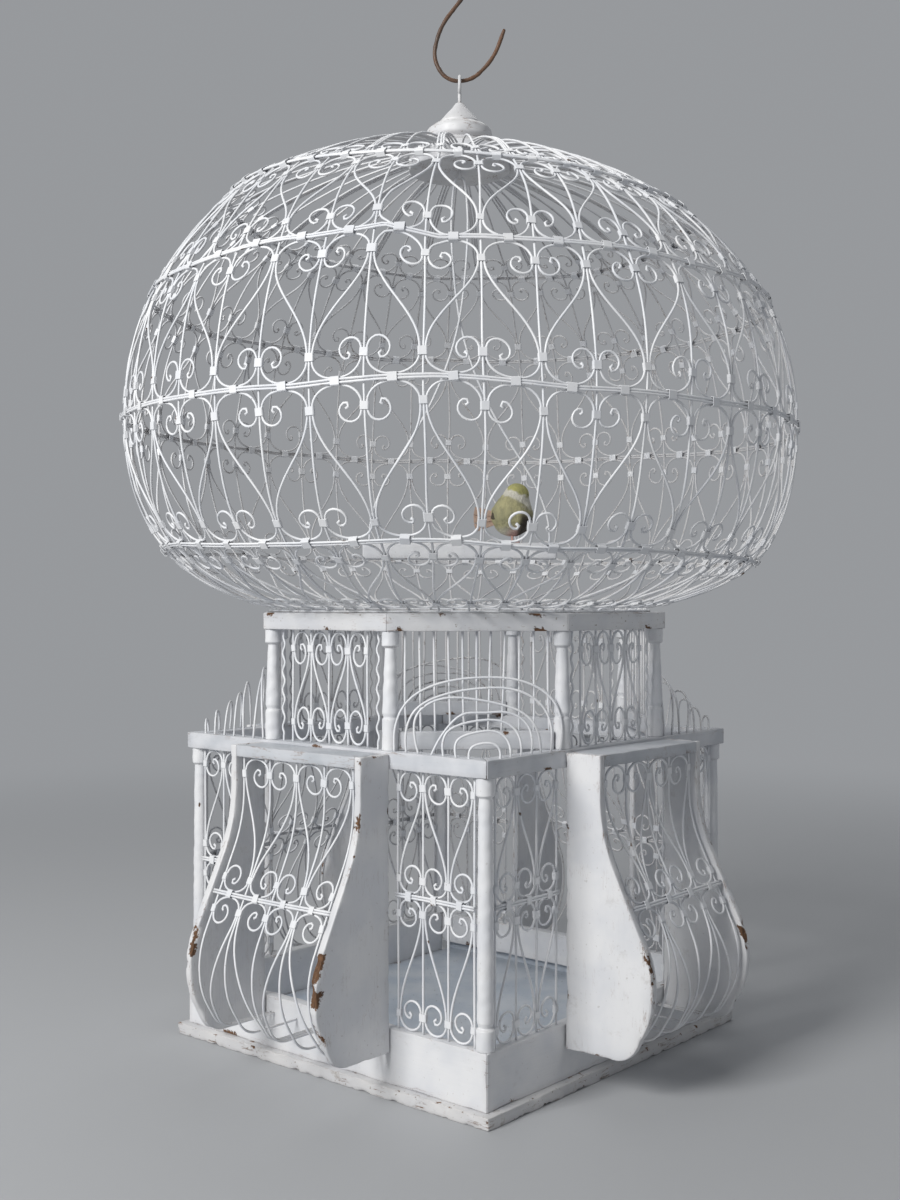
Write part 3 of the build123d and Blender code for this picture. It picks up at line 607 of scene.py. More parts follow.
def collars(centres, width_way, first_way, width, first, second, tin=0.35):
    """Folded tin strips: a rounded rectangle wraps the wires, as wide as the strip.

    The rectangle's half sizes are first, along first_way, and second, square to it and
    to width_way. Each collar is turned and sized a little by hand.
    """
    count = len(centres)
    corner = np.array([(1, -0.72), (1, 0.72), (0.8, 1), (-0.8, 1), (-1, 0.72), (-1, -0.72),
                       (-0.8, -1), (0.8, -1)], float)
    lean = rng.normal(0, hand_spread, (count, 1))
    size = 1 + rng.normal(0, hand_spread, (count, 1, 1, 1))
    width_way = unit(width_way + lean * first_way)
    first_way = unit(first_way - (first_way * width_way).sum(1, keepdims=True) * width_way)
    second_way = np.cross(width_way, first_way)
    loops = []
    for grown, reach in ((0.0, 0.5), (tin, 0.5), (tin, -0.5), (0.0, -0.5)):
        wrap = (corner[:, :1] * (first + grown))[None] * first_way[:, None]
        wrap = wrap + (corner[:, 1:] * (second + grown))[None] * second_way[:, None]
        loops.append(centres[:, None] + wrap + width * reach * width_way[:, None])
    loops = centres[:, None, None] + (np.stack(loops, axis=1) - centres[:, None, None]) * size
    first = (np.arange(count * 4) * 8)[:, None]
    quads = ring_quads(first, 8, np.tile((8, 8, 8, -24), count)[:, None])
    points = loops.reshape(-1, 3)
    bare = smoothstep(ripple(points, 9.0, 18), 1.7, 2.2)
    return points, [quads[:, ::-1]], {"inner": np.zeros(len(points)), "bare": bare}


# A scroll from its free end: across from its upright, away from its collar, looseness.
curl = ((11.3, 0.5, 1.0), (10.1, 0.1, 1.0), (9.3, -1.7, 1.0), (10.7, -3.2, 0.9),
        (13.2, -2.6, 0.9), (15.4, 0.0, 0.8), (15.9, 3.1, 0.7), (13.7, 7.0, 0.5),
        (8.9, 8.9, 0.4), (4.4, 7.4, 0.2), (2.2, 4.0, 0.0), (tie, 0.8, 0.0))
curl_reach = 16.0


def half_scroll(gap, collar, edge, tall=1.0):
    """Half a scroll wire as rows of upright, across, away from the edge, and looseness.

    The wire curls beside upright 0 and bends out from its collar in a quarter ellipse.
    It runs along the edge and bends up in another one to the collar of upright 1.
    """
    room = min(1.0, (gap - 2 * tie - 1.2 * wire) / curl_reach)
    rows = [(0, tie + (across - tie) * room, collar + away * room * tall, loose)
            for across, away, loose in curl]
    flare = min(14.9, 0.5 * gap - tie)
    drop = collar - edge - 1.5
    for upright, degrees in ((0, (8, 35, 62, 90)), (1, (62, 35, 8))):
        turn = np.radians(degrees)
        rows += [(upright, tie + flare * (1 - c), edge + drop * (1 - s), 0.0)
                 for c, s in zip(np.cos(turn), np.sin(turn))]
    rows += [(1, tie, collar + 0.5, 0.0), (1, tie + 0.1, collar + 3.0, 0.0)]
    return np.array(rows)


def laid(rows, gap, scroll_left, edge, way):
    """Rows as (across, along, looseness) in a gap whose width may change along it."""
    upright, across, away, loose = rows.T
    along = edge + way * away
    wide = gap(along) if callable(gap) else gap
    from_left = (upright == 0) == scroll_left
    return np.stack([np.where(from_left, across, wide - across), along, loose], axis=1)


def s_shape(first, last, loose=0.8):
    """Two half scroll wires as one, through the place midway between their ends."""
    middle = (first[-1] + last[-1]) / 2 + (0, 0, loose)
    return np.concatenate([first, [middle], last[::-1]])


def hand_bent(control, copies, count, slack=0.55):
    """Copies of one wire through control rows, each with its own small differences.

    Each copy adds slow waves along the wire, as large as slack where it is fully loose.
    """
    control, loose = control[:, :2], control[:, 2]
    knots = lengths_along(control)
    share = knots / knots[-1]
    waves = rng.uniform(0.6, 3.2, (copies, 3, 1, 2))
    starts = rng.uniform(0, 2 * math.pi, (copies, 3, 1, 2))
    wave = np.sin(2 * math.pi * waves * share[None, None, :, None] + starts).sum(1)
    control = control + wave * slack * 0.6 * loose[None, :, None]
    return np.einsum("mk,nkc->nmc", spline_weights(knots, count), control)


def drawn(across, along):
    """Places on a surface, as (across, along) pairs."""
    return np.stack(np.broadcast_arrays(across, along), axis=-1)


def on_panel(plane, turn):
    """The surface of a flat upright panel, which places (across, up, out of the plane)."""
    def place(across, up, lift):
        across, up, lift = np.broadcast_arrays(across, up, lift)
        return turned_about(np.stack([across, -(plane + lift), up], axis=-1), turn)
    return place


def wires_on(surface, lines, lift=0.0, **form):
    """Wires on a surface, from (across, along) lines."""
    across, along = lines[..., 0], lines[..., 1]
    flat = surface(across, along, lift)
    return tubes(flat, surface(across, along, lift + 1.0) - flat, **form)


def collars_on(surface, places, way, lift, width, halves, hand=1):
    """Collars on a surface, around wires that run 'along' or 'across' it.

    The way across is the way along crossed with the way out, or its opposite where hand
    is -1.
    """
    across, along = places.T
    centres = surface(across, along, lift)
    along_way = unit(surface(across, along + 0.5, lift) - centres)
    out_way = surface(across, along, lift + 1.0) - centres
    across_way = hand * unit(np.cross(along_way, out_way))
    ways = (along_way, across_way) if way == "along" else (across_way, along_way)
    return collars(centres, *ways, width, *halves)


def upright_collars(surface, places, along, spread=0.5, width=collar_width, hand=1):
    """Collars on each upright in a row: the outer ones tie one scroll wire only."""
    spots = drawn(places, along + rng.normal(0, spread, len(places)))
    spots[[0, -1], 0] += (tie / 2, -tie / 2)
    return [collars_on(surface, spots[1:-1], "along", 0.0, width, three_wires, hand),
            collars_on(surface, spots[[0, -1]], "along", 0.0, width, two_wires, hand)]


def straight_lines(xs, low, high, count=30, lean=0.35):
    """Upright (across, up) lines that bow a little."""
    share = np.linspace(0, 1, count)
    bow = np.sin(math.pi * share)[None] * rng.normal(0, lean, (len(xs), 1))
    bow = bow + np.sin(2 * math.pi * share)[None] * rng.normal(0, lean / 2, (len(xs), 1))
    return drawn(np.asarray(xs)[:, None] + bow, np.linspace(low, high, count))


def scroll_row(places, low, high, low_edge, high_edge, collar, tall=1.0):
    """S-shaped wires between uprights, mirrored from gap to gap, as (across, up) lines."""
    lines = []
    for number, (left, right) in enumerate(zip(places, places[1:])):
        gap = right - left
        upper_left = number % 2 == 0
        lower = laid(half_scroll(gap, collar, low_edge, tall), gap, not upper_left, low, 1)
        upper = laid(half_scroll(gap, collar, high_edge, tall), gap, upper_left, high, -1)
        lines.append(hand_bent(s_shape(lower, upper), 1, 84) + (left, 0.0))
    return np.concatenate(lines)


def painted_wire(name, dirt, inside, paint=white_paint, second=grey_paint):
    """Old paint on wire, darker on the side that faces the cage's middle: partly grime, partly
    painted shade.
    """
    material = painted(name, paint=paint, second=second, dirt=dirt, specks=0.35, relief=0.12,
                       under=(0.13, 0.075, 0.045, 1))
    tree = material.node_tree
    worn = [node for node in tree.nodes if node.type == "GROUP"][0]
    # The inner mark, weighted by inside, adds painted shade and grime to the dirt share, so the
    # wires' inner sides come out browner.
    dirt_and_inner_shade = calculate(tree, "MULTIPLY_ADD", marked(tree, "inner"), inside, dirt)
    tree.links.new(dirt_and_inner_shade, worn.inputs["Dirt And Shade"])
    return material


# The 0.9 darkens the wires' inner sides: partly grime, partly painted shade.
wire_paint = painted_wire("wire_paint", 0.12, 0.9)
tin_paint = painted_wire("tin_paint", 0.2, 0.0)


def wire_piece(name, shapes, node, body="cage"):
    """A piece of painted wires that stand for one CAD node."""
    piece(name, joined(shapes), wire_paint, body, [node])


def collar_piece(name, shapes, body="cage"):
    """A piece of tin collars, which the CAD leaves out."""
    piece(name, joined(shapes), tin_paint, body, smooth=False)


panel_inset = 4.5
panel_plane = plinth_half - panel_inset
mid_share = 0.517               # how far up the house the double wires lie
mid_rail = plinth_top + mid_share * house_height
sunk = 0.5                      # how deep the uprights' ends are pushed into the wood
panel_collar = 11.0             # from a panel's edge to the row of collars beside it
first_upright = 66.0
corner_places = np.linspace(first_upright, post_place - post_radius - 1.3, 4)
uprights, crosses, scrolls, bands = [], [], [], []
for side in range(4):
    turn = side * quarter
    surface = on_panel(panel_plane, turn)
    droop = 0.25 * np.sin(np.linspace(0, 5, 12) + turn)
    for places in (corner_places, -corner_places[::-1]):
        lines = straight_lines(places, plinth_top - sunk, ledge_bottom + sunk)
        uprights.append(wires_on(surface, lines))
        reach = np.linspace(places[0] - 1.2, places[-1] + 0.9, 12)
        crosses += [wires_on(surface, drawn(reach, mid_rail + slide + droop)[None], tie)
                    for slide in pair_slides]
        for low, high, low_edge, high_edge in (
                (plinth_top, mid_rail, wood_edge, ring_edge),
                (mid_rail, ledge_bottom, ring_edge, wood_edge)):
            lines = scroll_row(places, low, high, low_edge, high_edge, panel_collar)
            scrolls.append(wires_on(surface, lines, end_width=1.25))
            for up in (low + panel_collar, high - panel_collar):
                bands += upright_collars(surface, places, up)
        middles = drawn((places[:-1] + places[1:]) / 2, mid_rail)
        bands.append(collars_on(surface, middles, "across", tie / 2, collar_width, double_wires))
wire_piece("corner_panel_upright_wires", uprights, "corner_panel_uprights")
wire_piece("corner_panel_double_wires", crosses, "corner_panel_cross_wires")
wire_piece("corner_panel_scroll_wires", scrolls, "corner_panel_scrolls")
collar_piece("corner_panel_collars", bands)


# ------------------------------------------------------------------------ balconies
# In the middle of each side a balcony bows out: two sawn side boards, a roof between
# them and a grille of wires bent to the boards' shape. The boards' front edges carry
# thick paint that has cracked and broken off at the belly.
def rounded_path(points, radii, step=2.0):
    """Places along straight runs joined by tangent arcs, from corners in a plane.

    Each arc starts and ends at the same distance from its corner: the radius times the
    tangent of half the turn.
    """
    points = np.array(points, float)
    out = [points[:1]]
    for before, corner, after, radius in zip(points, points[1:], points[2:], radii):
        come, leave = unit(corner - before), unit(after - corner)
        turn = math.acos(np.clip(come @ leave, -1, 1))
        room = 0.47 * min(np.linalg.norm(corner - before), np.linalg.norm(after - corner))
        radius = min(radius, room / math.tan(turn / 2))
        start = corner - come * radius * math.tan(turn / 2)
        side = unit(leave - come * (come @ leave))
        angles = np.linspace(0, turn, max(3, int(radius * turn / step) + 1))[:, None]
        out.append(start + radius * (np.sin(angles) * come + (1 - np.cos(angles)) * side))
    out.append(points[-1:])
    path = np.concatenate(out)
    along = lengths_along(path)
    places = np.linspace(0, along[-1], int(along[-1] / step) + 1)
    return np.stack([np.interp(places, along, path[:, axis]) for axis in range(2)], axis=1)


boards_low, boards_high = corners("balcony_front_side_boards")
roof_low, roof_high = corners("balcony_front_roof")
balcony_half = boards_high[0]
inner_half = roof_high[0]
balcony_board = balcony_half - inner_half
balcony_top, roof_bottom = roof_high[2], roof_low[2]
balcony_bottom = boards_low[2]
balcony_reach, belly_reach = -roof_low[1], 212.5
board_back = -roof_high[1]
edge_bends = (120.0, 60.0, 60.0, 18.0)
grille_inset = 4.0


def balcony_edge(inset, top, back):
    """(out, up) places down a balcony's front edge, from its top to its foot."""
    return rounded_path((
        (balcony_reach - inset, top), (balcony_reach - inset, 172.0),
        (belly_reach - inset, 90.0), (belly_reach - inset - 0.5, 62.0),
        (balcony_reach + 22.0 - inset, balcony_bottom + inset),
        (back, balcony_bottom + inset)), edge_bends)


front_edge = balcony_edge(0.0, balcony_top, board_back)
front_edge = front_edge[:np.argmin(front_edge[:, 1] + 0.02 * front_edge[:, 0]) + 1]
edge_along = lengths_along(front_edge)
nominal_depth = 40.0


def side_board(turn, right_hand, seed, chips):
    """A side board: a worn block whose front face is bent to the balcony's edge.

    The block's depth is stretched between the front edge and the straight back edge.
    """
    size = (balcony_board, nominal_depth, edge_along[-1])
    points, faces, marks = block(size, 2.6, 0.9, bite=0.9, bite_length=17.0, seed=seed,
                                 chips=chips)
    down = points[:, 2]
    share = points[:, 1] / nominal_depth
    out = np.interp(down, edge_along, front_edge[:, 0])
    up = np.interp(down, edge_along, front_edge[:, 1])
    back_up = balcony_top + (balcony_bottom - balcony_top) * down / edge_along[-1]
    beyond = np.maximum(down - edge_along[-1], 0) - np.maximum(-down, 0)
    up = up + (back_up - up) * share - beyond
    out = out + (board_back - out) * share
    left = inner_half if right_hand else -balcony_half
    board = np.stack([points[:, 0] + left, -out, up], axis=-1)
    return turned_about(board, turn), [group[:, ::-1] for group in faces], marks


def off_profile(known, columns, along, lift):
    """(out, up) places on a profile. Its columns are out, up, and the way out of it."""
    out, up, way_out, way_up = [np.interp(along, known, column) for column in columns]
    return out + lift * way_out, up + lift * way_up


def on_grille(turn):
    """The surface of a balcony's grille, which places (across, down its edge, out of it)."""
    def place(across, down, lift):
        across, down, lift = np.broadcast_arrays(across, down, lift)
        out, up = off_profile(grille_along, grille_columns, down, lift)
        return turned_about(np.stack([across, -out, up], axis=-1), turn)
    return place


grille_edge = balcony_edge(grille_inset, roof_bottom, plinth_half)
grille_along = lengths_along(grille_edge)
ways = unit(np.gradient(grille_edge, axis=0))
grille_columns = np.stack([*grille_edge.T, -ways[:, 1], ways[:, 0]])
grille_length = grille_along[-1]
rail_drop = 95.0                # down the grille to its double wire
belly_down = 128.0              # down the boards' edge to where its paint is chipped
wire_count = 5
outer_wire = inner_half - 4.5
grille_places = np.linspace(-outer_wire, outer_wire, wire_count)
# Below the double wire: the share of the way down, of the way across, and looseness.
tail_shares = ((0.3, 0.65, 1.0), (0.5, 0.28, 0.8), (0.66, 0.14, 1.2), (0.82, 0.1, 1.5),
               (1.0, 0.12, 0.0))
board_edge_paint = painted("balcony_paint", upright_strokes, dirt=0.42, specks=0.25, relief=0.3)
roof_paint = painted("balcony_roof_paint", (0.12, 1.0, 1.0), paint=(0.62, 0.65, 0.70, 1),
                     second=(0.50, 0.54, 0.59, 1), dirt=0.45)
for number, side in enumerate(side_names):
    turn = quarter * number
    boards = []
    for right_hand in (False, True):
        seed = 60 + 2 * number + right_hand
        dice = np.random.default_rng(seed)
        start = belly_down + dice.uniform(-6, 14)
        chip_count = 9 if right_hand and side == "front" else 5
        chips = [((dice.uniform(1.0, 4.5), -1.5, start + 3.5 * step), dice.uniform(3.2, 5.0),
                  dice.uniform(1.0, 2.2)) for step in range(chip_count)]
        chips.append(((2.5, -1.0, edge_along[-1] - dice.uniform(2, 20)), 4.0, 1.2))
        boards.append(side_board(turn, right_hand, seed, chips))
    piece(f"balcony_boards_{side}", joined(boards), board_edge_paint,
          nodes=[f"balcony_{side}_side_boards"])
    roof = block(roof_high - roof_low, step=3.5, radius=0.8, bite=0.8, bite_length=20.0,
                 seed=80 + number)
    piece(f"balcony_roof_board_{side}", moved(roof, roof_low, turn), roof_paint,
          nodes=[f"balcony_{side}_roof"])

    surface = on_grille(turn)
    down = np.linspace(-0.4, grille_length, 130)
    bow = np.sin(np.linspace(0, 3 * math.pi, 130)) * rng.normal(0, 0.35, (wire_count, 1))
    wires = [wires_on(surface, drawn(grille_places[:, None] + bow, down))]
    reach = np.linspace(-inner_half + 1.0, inner_half - 1.0, 24)
    droop = 0.5 * np.sin(np.linspace(0, 4, 24) + number)
    wires += [wires_on(surface, drawn(reach, rail_drop + slide + droop)[None], tie)
              for slide in pair_slides]
    wire_piece(f"balcony_grille_wires_{side}", wires, f"balcony_{side}_uprights")

    wires = []
    for place, (left, right) in enumerate(zip(grille_places, grille_places[1:])):
        gap = right - left
        low_left = place % 2 == 0
        scroll = half_scroll(gap, panel_collar, ring_edge)
        upper = laid(half_scroll(gap, panel_collar, wood_edge), gap, not low_left, 0.0, 1)
        middle = laid(scroll, gap, low_left, rail_drop, -1)
        tail = [(0, gap * across, (grille_length - rail_drop) * share, loose)
                for share, across, loose in tail_shares]
        lower = laid(np.concatenate([scroll, tail]), gap, low_left, rail_drop, 1)
        for control, count in ((s_shape(upper, middle), 96), (lower, 110)):
            line = hand_bent(control, 1, count) + (left, 0.0)
            wires.append(wires_on(surface, line, end_width=1.3))
    wire_piece(f"balcony_scroll_wires_{side}", wires, f"balcony_{side}_scrolls")

    bands = []
    for drop in (panel_collar, rail_drop - panel_collar, rail_drop + panel_collar):
        bands += upright_collars(surface, grille_places, drop, spread=0.7, width=4.8, hand=-1)
    spots = drawn((grille_places[1:] + grille_places[:-1]) / 2, rail_drop)
    bands.append(collars_on(surface, spots, "across", tie / 2, collar_width, double_wires, -1))
    collar_piece(f"balcony_collars_{side}", bands)


# ----------------------------------------------------------------------------- neck
# Eight turned posts stand on the ledge and carry an eight-sided beam, whose rails are
# nailed at the posts. The wide faces hold scroll panels between crimped wires, and the
# corner faces a row of plain bars that stands on a small rail.
beam_low, beam_high = corners("neck_beam")
neck_apothem = beam_high[0]
beam_bottom, beam_top = beam_low[2], beam_high[2]
beam_width = 14.0
eighth = math.pi / 4
neck_plane = neck_apothem - beam_width / 2
neck_height = beam_bottom - ledge_top
neck_radius = neck_plane / math.cos(eighth / 2)
neck_post_profile = softened((
    (0, 0), (5.6, 0), (5.6, 20.5), (4.6, 21.8), (5.5, 24.5), (4.7, 45), (3.7, neck_height - 11),
    (5.85, neck_height - 9.4), (5.85, neck_height), (0, neck_height)))
posts = [moved(lathe(neck_post_profile, sides=24, rough=0.2, seed=90 + number),
               (neck_radius, 0, ledge_top), eighth * (number + 0.5)) for number in range(8)]
piece("turned_neck_posts", joined(posts), turned_paint, nodes=["neck_posts"])

beam_paint = painted("beam_paint", level_strokes, dirt=0.4, specks=0.7)
rails = [mitred_rail(neck_apothem, beam_width, beam_bottom, beam_top, eighth * number,
                     100 + number, sides=8, bite=0.5, bite_length=18.0) for number in range(8)]
piece("beam", joined(rails), beam_paint, nodes=["neck_beam"])

# Two nails hold each end of a beam rail. Their heads stand a little proud of the paint.
nail_profile = ((0, -0.6), (1.2, -0.6), (1.3, 0.1), (1.1, 0.45), (0.6, 0.6), (0, 0.65))
nail_side = 55.0
nail_heights = (beam_bottom + 3.6, beam_top - 3.4)
points, faces, marks = lathe(nail_profile, sides=10, seed=3, ring_step=5.0)
nail = (np.stack([points[:, 0], -points[:, 2], points[:, 1]], axis=-1), faces, marks)
nails = []
for number in range(8):
    for x in (-1, 1):
        for up in nail_heights:
            place = (x * (nail_side + rng.uniform(-2, 2)), 0.65 - neck_apothem,
                     up + rng.uniform(-0.6, 0.6))
            nails.append(moved(nail, place, eighth * number))
piece("beam_nails", joined(nails), beam_paint)

rail_low, rail_high = corners("neck_corner_rails")
rail_top = rail_high[2]
rail_width = 9.0
rail_end_gap = 6.15             # from a neck post's middle to the end of a corner rail
rail_half = neck_plane * math.tan(eighth / 2) - rail_end_gap
rail_size = (2 * rail_half, rail_width, rail_top - rail_low[2])
rail_place = (-rail_half, -neck_plane - rail_width / 2, rail_low[2])
rails = [moved(block(rail_size, step=3.5, radius=0.7, bite=0.6, bite_length=16.0,
                     seed=110 + number), rail_place, eighth + quarter * number)
         for number in range(4)]
piece("corner_rail_boards", joined(rails), ledge_paint, nodes=["neck_corner_rails"])

bar_pitch, bar_count = 9.5, 11
bar_places = (np.arange(bar_count) - bar_count // 2) * bar_pitch
bars = []
for number in range(4):
    lines = straight_lines(bar_places, rail_top - 0.6, beam_bottom + 0.6, 14)
    lines[..., 0] += rng.normal(0, 0.9, (bar_count, 1)) * np.linspace(1, 0, 14)
    bars.append(wires_on(on_panel(neck_plane, eighth + quarter * number), lines))
wire_piece("corner_bar_wires", bars, "neck_corner_bars")

crimp_side, crimp_pitch, crimp_depth = 46.0, 13.0, 1.1
crimps = []
up = np.linspace(ledge_top - 0.5, beam_bottom + 0.5, 90)
calm = smoothstep(up, ledge_top + 2, ledge_top + 8) * smoothstep(-up, 2 - beam_bottom,
                                                                8 - beam_bottom)
for number in range(4):
    for x in (-crimp_side, crimp_side):
        wave = np.sin(2 * math.pi * up / crimp_pitch + number + x)
        lines = drawn(x + crimp_depth * calm * wave, up)[None]
        crimps.append(wires_on(on_panel(neck_plane, quarter * number), lines))
wire_piece("crimped_side_wires", crimps, "neck_crimped_wires")

neck_pitch = 18.2
neck_places = np.arange(-2, 3) * neck_pitch
neck_collar = 13.0
door_play, pin_length = 0.5, 5.0
neck_uprights, neck_scrolls, neck_bands = [], [], []
for number, side in enumerate(side_names):
    surface = on_panel(neck_plane, quarter * number)
    is_door = side == "front"
    play = door_play if is_door else 0.0
    low, high = ledge_top + play, beam_bottom - play
    uprights = wires_on(surface, straight_lines(neck_places, low, high, 24))
    lines = scroll_row(neck_places, low, high, wood_edge, wood_edge, neck_collar, tall=1.5)
    scrolls = wires_on(surface, lines, end_width=1.2)
    bands = []
    for up in (low + neck_collar, high - neck_collar):
        bands += upright_collars(surface, neck_places, up)
    if is_door:
        # The door's first upright is longer: its ends are the pins that the door turns on.
        pin = straight_lines(neck_places[:1], ledge_top - pin_length, beam_bottom + pin_length,
                             24)
        others = straight_lines(neck_places[1:], low, high, 24)
        wire_piece("door_pin_wire", [wires_on(surface, pin)], "door_pivot_wire", "door")
        wire_piece("door_upright_wires", [wires_on(surface, others)], "door_uprights", "door")
        wire_piece("door_scroll_wires", [scrolls], "door_scrolls", "door")
        collar_piece("door_collars", bands, "door")
    else:
        neck_uprights.append(uprights)
        neck_scrolls.append(scrolls)
        neck_bands += bands
wire_piece("neck_upright_wires", neck_uprights, "neck_panel_uprights")
wire_piece("neck_scroll_wires", neck_scrolls, "neck_panel_scrolls")
collar_piece("neck_collars", neck_bands)


# --------------------------------------------------------------------- corner arches
# Seven arches of wire stand one behind another on each corner of the ledge, the tallest
# next to the neck. They are only pushed into the wood, and many are knocked askew.
arch_count = 7
arch_line = 141.5               # from the axis to the line of feet along each side
first_foot, foot_pitch = 64.0, 10.6
tallest, shortening = 48.0, 38.5
outline = np.array([(1.01, 0.3), (0.9, 0.66), (0.52, 0.93)])       # shares of half and rise
corner_way, up_way = np.array([1.0, -1.0, 0]) / math.sqrt(2), np.array([0, 0, 1.0])
arch_way = np.array([1.0, 1.0, 0]) / math.sqrt(2)
arches = []
for number in range(4):
    for arch in range(arch_count):
        foot = first_foot + foot_pitch * arch
        rise = tallest - shortening * arch / (arch_count - 1)
        half = (arch_line - foot) / math.sqrt(2)
        middle = (arch_line + foot) / 2
        knock = rng.normal(0, 0.035 * half, 2)
        right_side = outline * (half, rise)
        shape = np.array([(-half, -0.6), *(right_side * (-1, 1)), (0, rise), *right_side[::-1],
                          (half, -0.6)])
        shape[1:-1, 0] += knock[0] * np.array([0.4, 1, 1.2, 1, 0.8, 0.6, 0.3])
        shape[1:-1, 1] += knock[1] * np.array([0.2, 0.6, 1, 0, -1, -0.6, -0.2])
        if (number, arch) == (0, 3):
            shape[1:4] += ((4.5, 0), (6.0, -2.0), (4.0, -1.0))
            shape[4, 1] -= 2.0
        line = smooth_line(shape, 60)
        lean_way = up_way + rng.normal(0, 0.06) * corner_way
        path = (middle, -middle, ledge_top) + line[:, :1] * arch_way + line[:, 1:] * lean_way
        path = turned_about(path, quarter * number)[None]
        face = turned_about(np.broadcast_to(corner_way, path.shape), quarter * number)
        arches.append(tubes(path, face))
wire_piece("corner_arch_wires", arches, "corner_arches")


# ----------------------------------------------------------------------------- dome
# Forty-four ribs bow out from the top disc and in again to the beam. Double rings lie
# outside them at four heights, and a double foot ring on the beam. In each gap an
# S-shaped wire with two scrolls spans from ring to ring, tied by collars of tin.
rib_count = 44
rib_step = 2 * math.pi / rib_count
rib_turn = math.radians(1.9)
disc_low, disc_high = corners("top_disc")
disc_radius = disc_high[0]
disc_bottom, disc_top = disc_low[2], disc_high[2]
ring_boxes = [corners(f"dome_ring_{number}") for number in range(1, 5)]
ring_inset = wire / 2 + 1.9
ring_places = [(high[0] - ring_inset, (low[2] + high[2]) / 2) for low, high in ring_boxes]
foot_ring = corners("dome_foot_ring")[1][0] - ring_inset
foot_height = beam_top + wire / 2 + 0.3 + 2.5
rib_start = (disc_radius - 0.6, disc_bottom + 0.55 * (disc_top - disc_bottom))
guides = [(rib_start[0] - 18, rib_start[1] + 1.5), rib_start, *ring_places,
          (foot_ring, foot_height), (foot_ring - 14, foot_height - 2.5)]
dome_line = smooth_line(guides, 900)
dome_start, dome_end = [
    np.argmin(np.linalg.norm(dome_line - place, axis=1)) for place in (guides[1], guides[-2])]
knee = smooth_line([dome_line[dome_end], (foot_ring - 2.0, foot_height - 1.1),
                    (foot_ring - 3.0, foot_height - 3.0), (foot_ring - 3.0, beam_top - 0.8)], 14)
dome_line = np.concatenate([dome_line[dome_start:dome_end + 1], knee[1:]])
dome_along = lengths_along(dome_line)
ways = np.gradient(dome_line, dome_along, axis=0)
dome_columns = np.stack([*dome_line.T, -ways[:, 1], ways[:, 0]])
dome_columns[2:] *= np.sign(-ways[0, 1])
ring_along = [dome_along[np.argmin(np.linalg.norm(dome_line - place, axis=1))]
              for place in (guides[1], *ring_places, (foot_ring, foot_height))]

# How far each ring was knocked up or down, and the dome sideways, in mm. The turns are
# in degrees from the camera's side. Ring 1 tilts, and ring 2 has a kink where it was hit.
knock_turns = (-180, -110, -90, -39, -25, -18.5, -12.5, -4, 8, 15, 35, 90, 120, 180)
ring_knocks = ((0, 6, 7, 5, 3.8, 3.2, 2.5, 1, -0.8, -1.5, -3, -4, -3, 0),
               (0, -1, -3, -3.8, -0.5, 3.3, 6, -4.5, -4.5, -3.6, -3.6, -3, -1, 0),
               (0, -1, -3, -3.6, -3.6, -1, 0, 0, -2.3, -4, -4.2, -4.5, -2, 0),
               (0, 0, -1, -1, -1, -1, -1, -1, -2, -2.5, -3.5, -5, -2, 0))
side_knocks = (0, 0, 0, 2, 4, 4, 4, 4, 3, 0.5, -0.5, 0, 0, 0)
shrunk, shrunk_spread = 1.6, 0.8    # how far the dome moved inwards on average, and varies
sinking = 0.014                     # the rings' slope, down towards the right


def bent_dome(points):
    """The dome's own unevenness: it moves inwards and up or down in slow waves.

    The rings sink towards the right of the camera's side, and nothing moves at the disc
    or on the beam.
    """
    free = (smoothstep(points[..., 2], beam_top + 2, beam_top + 45)
            * smoothstep(-points[..., 2], -disc_bottom, 50 - disc_bottom))
    from_view = np.arctan2(points[..., 1], points[..., 0]) - view_turn + math.pi / 2
    from_view = np.degrees((from_view + math.pi) % (2 * math.pi) - math.pi)
    sideways = points[..., 0] * view_right.x + points[..., 1] * view_right.y
    radius = np.linalg.norm(points[..., :2], axis=-1)
    inwards = shrunk + shrunk_spread * ripple(points, 150.0, 7)
    shrink = 1 - free * inwards / np.maximum(radius, 30)
    bent = points.copy()
    bent[..., :2] *= np.minimum(shrink, 1.0)[..., None]
    bent[..., 2] += free * (-sinking * sideways + 1.3 * ripple(points, 120.0, 8))
    heights = [beam_top, *(place[1] for place in ring_places[:0:-1]), ring_places[0][1]]
    for number, knocks in enumerate(ring_knocks):
        share = np.interp(points[..., 2], heights, np.eye(5)[4 - number])
        bent[..., 2] += share * np.interp(from_view, knock_turns, knocks)
    sideways = 1.1 * ripple(points, 110.0, 9) + np.interp(from_view, knock_turns, side_knocks)
    return turned_about(bent, free * sideways / np.maximum(radius, 30))


def on_dome(turn, along, lift):
    """The surface of the dome: the angle about Z, the distance from the disc, and out."""
    turn, along, lift = np.broadcast_arrays(turn, along, lift)
    radius, height = off_profile(dome_along, dome_columns, along, lift)
    return bent_dome(np.stack([radius * np.cos(turn), radius * np.sin(turn), height], axis=-1))


def dome_gap(along):
    """The distance between two ribs, along the dome."""
    return rib_step * np.interp(along, dome_along, dome_line[:, 0])


rib_turns = rib_turn + rib_step * np.arange(rib_count)
along = np.linspace(0, dome_along[-1], 150)
sideways = rng.normal(0, 0.5, (rib_count, 1)) * np.sin(np.linspace(0, 6 * math.pi, 150))
ribs = drawn(rib_turns[:, None] + sideways / 240.0, along)
wire_piece("dome_rib_wires", [wires_on(on_dome, ribs)], "dome_ribs")

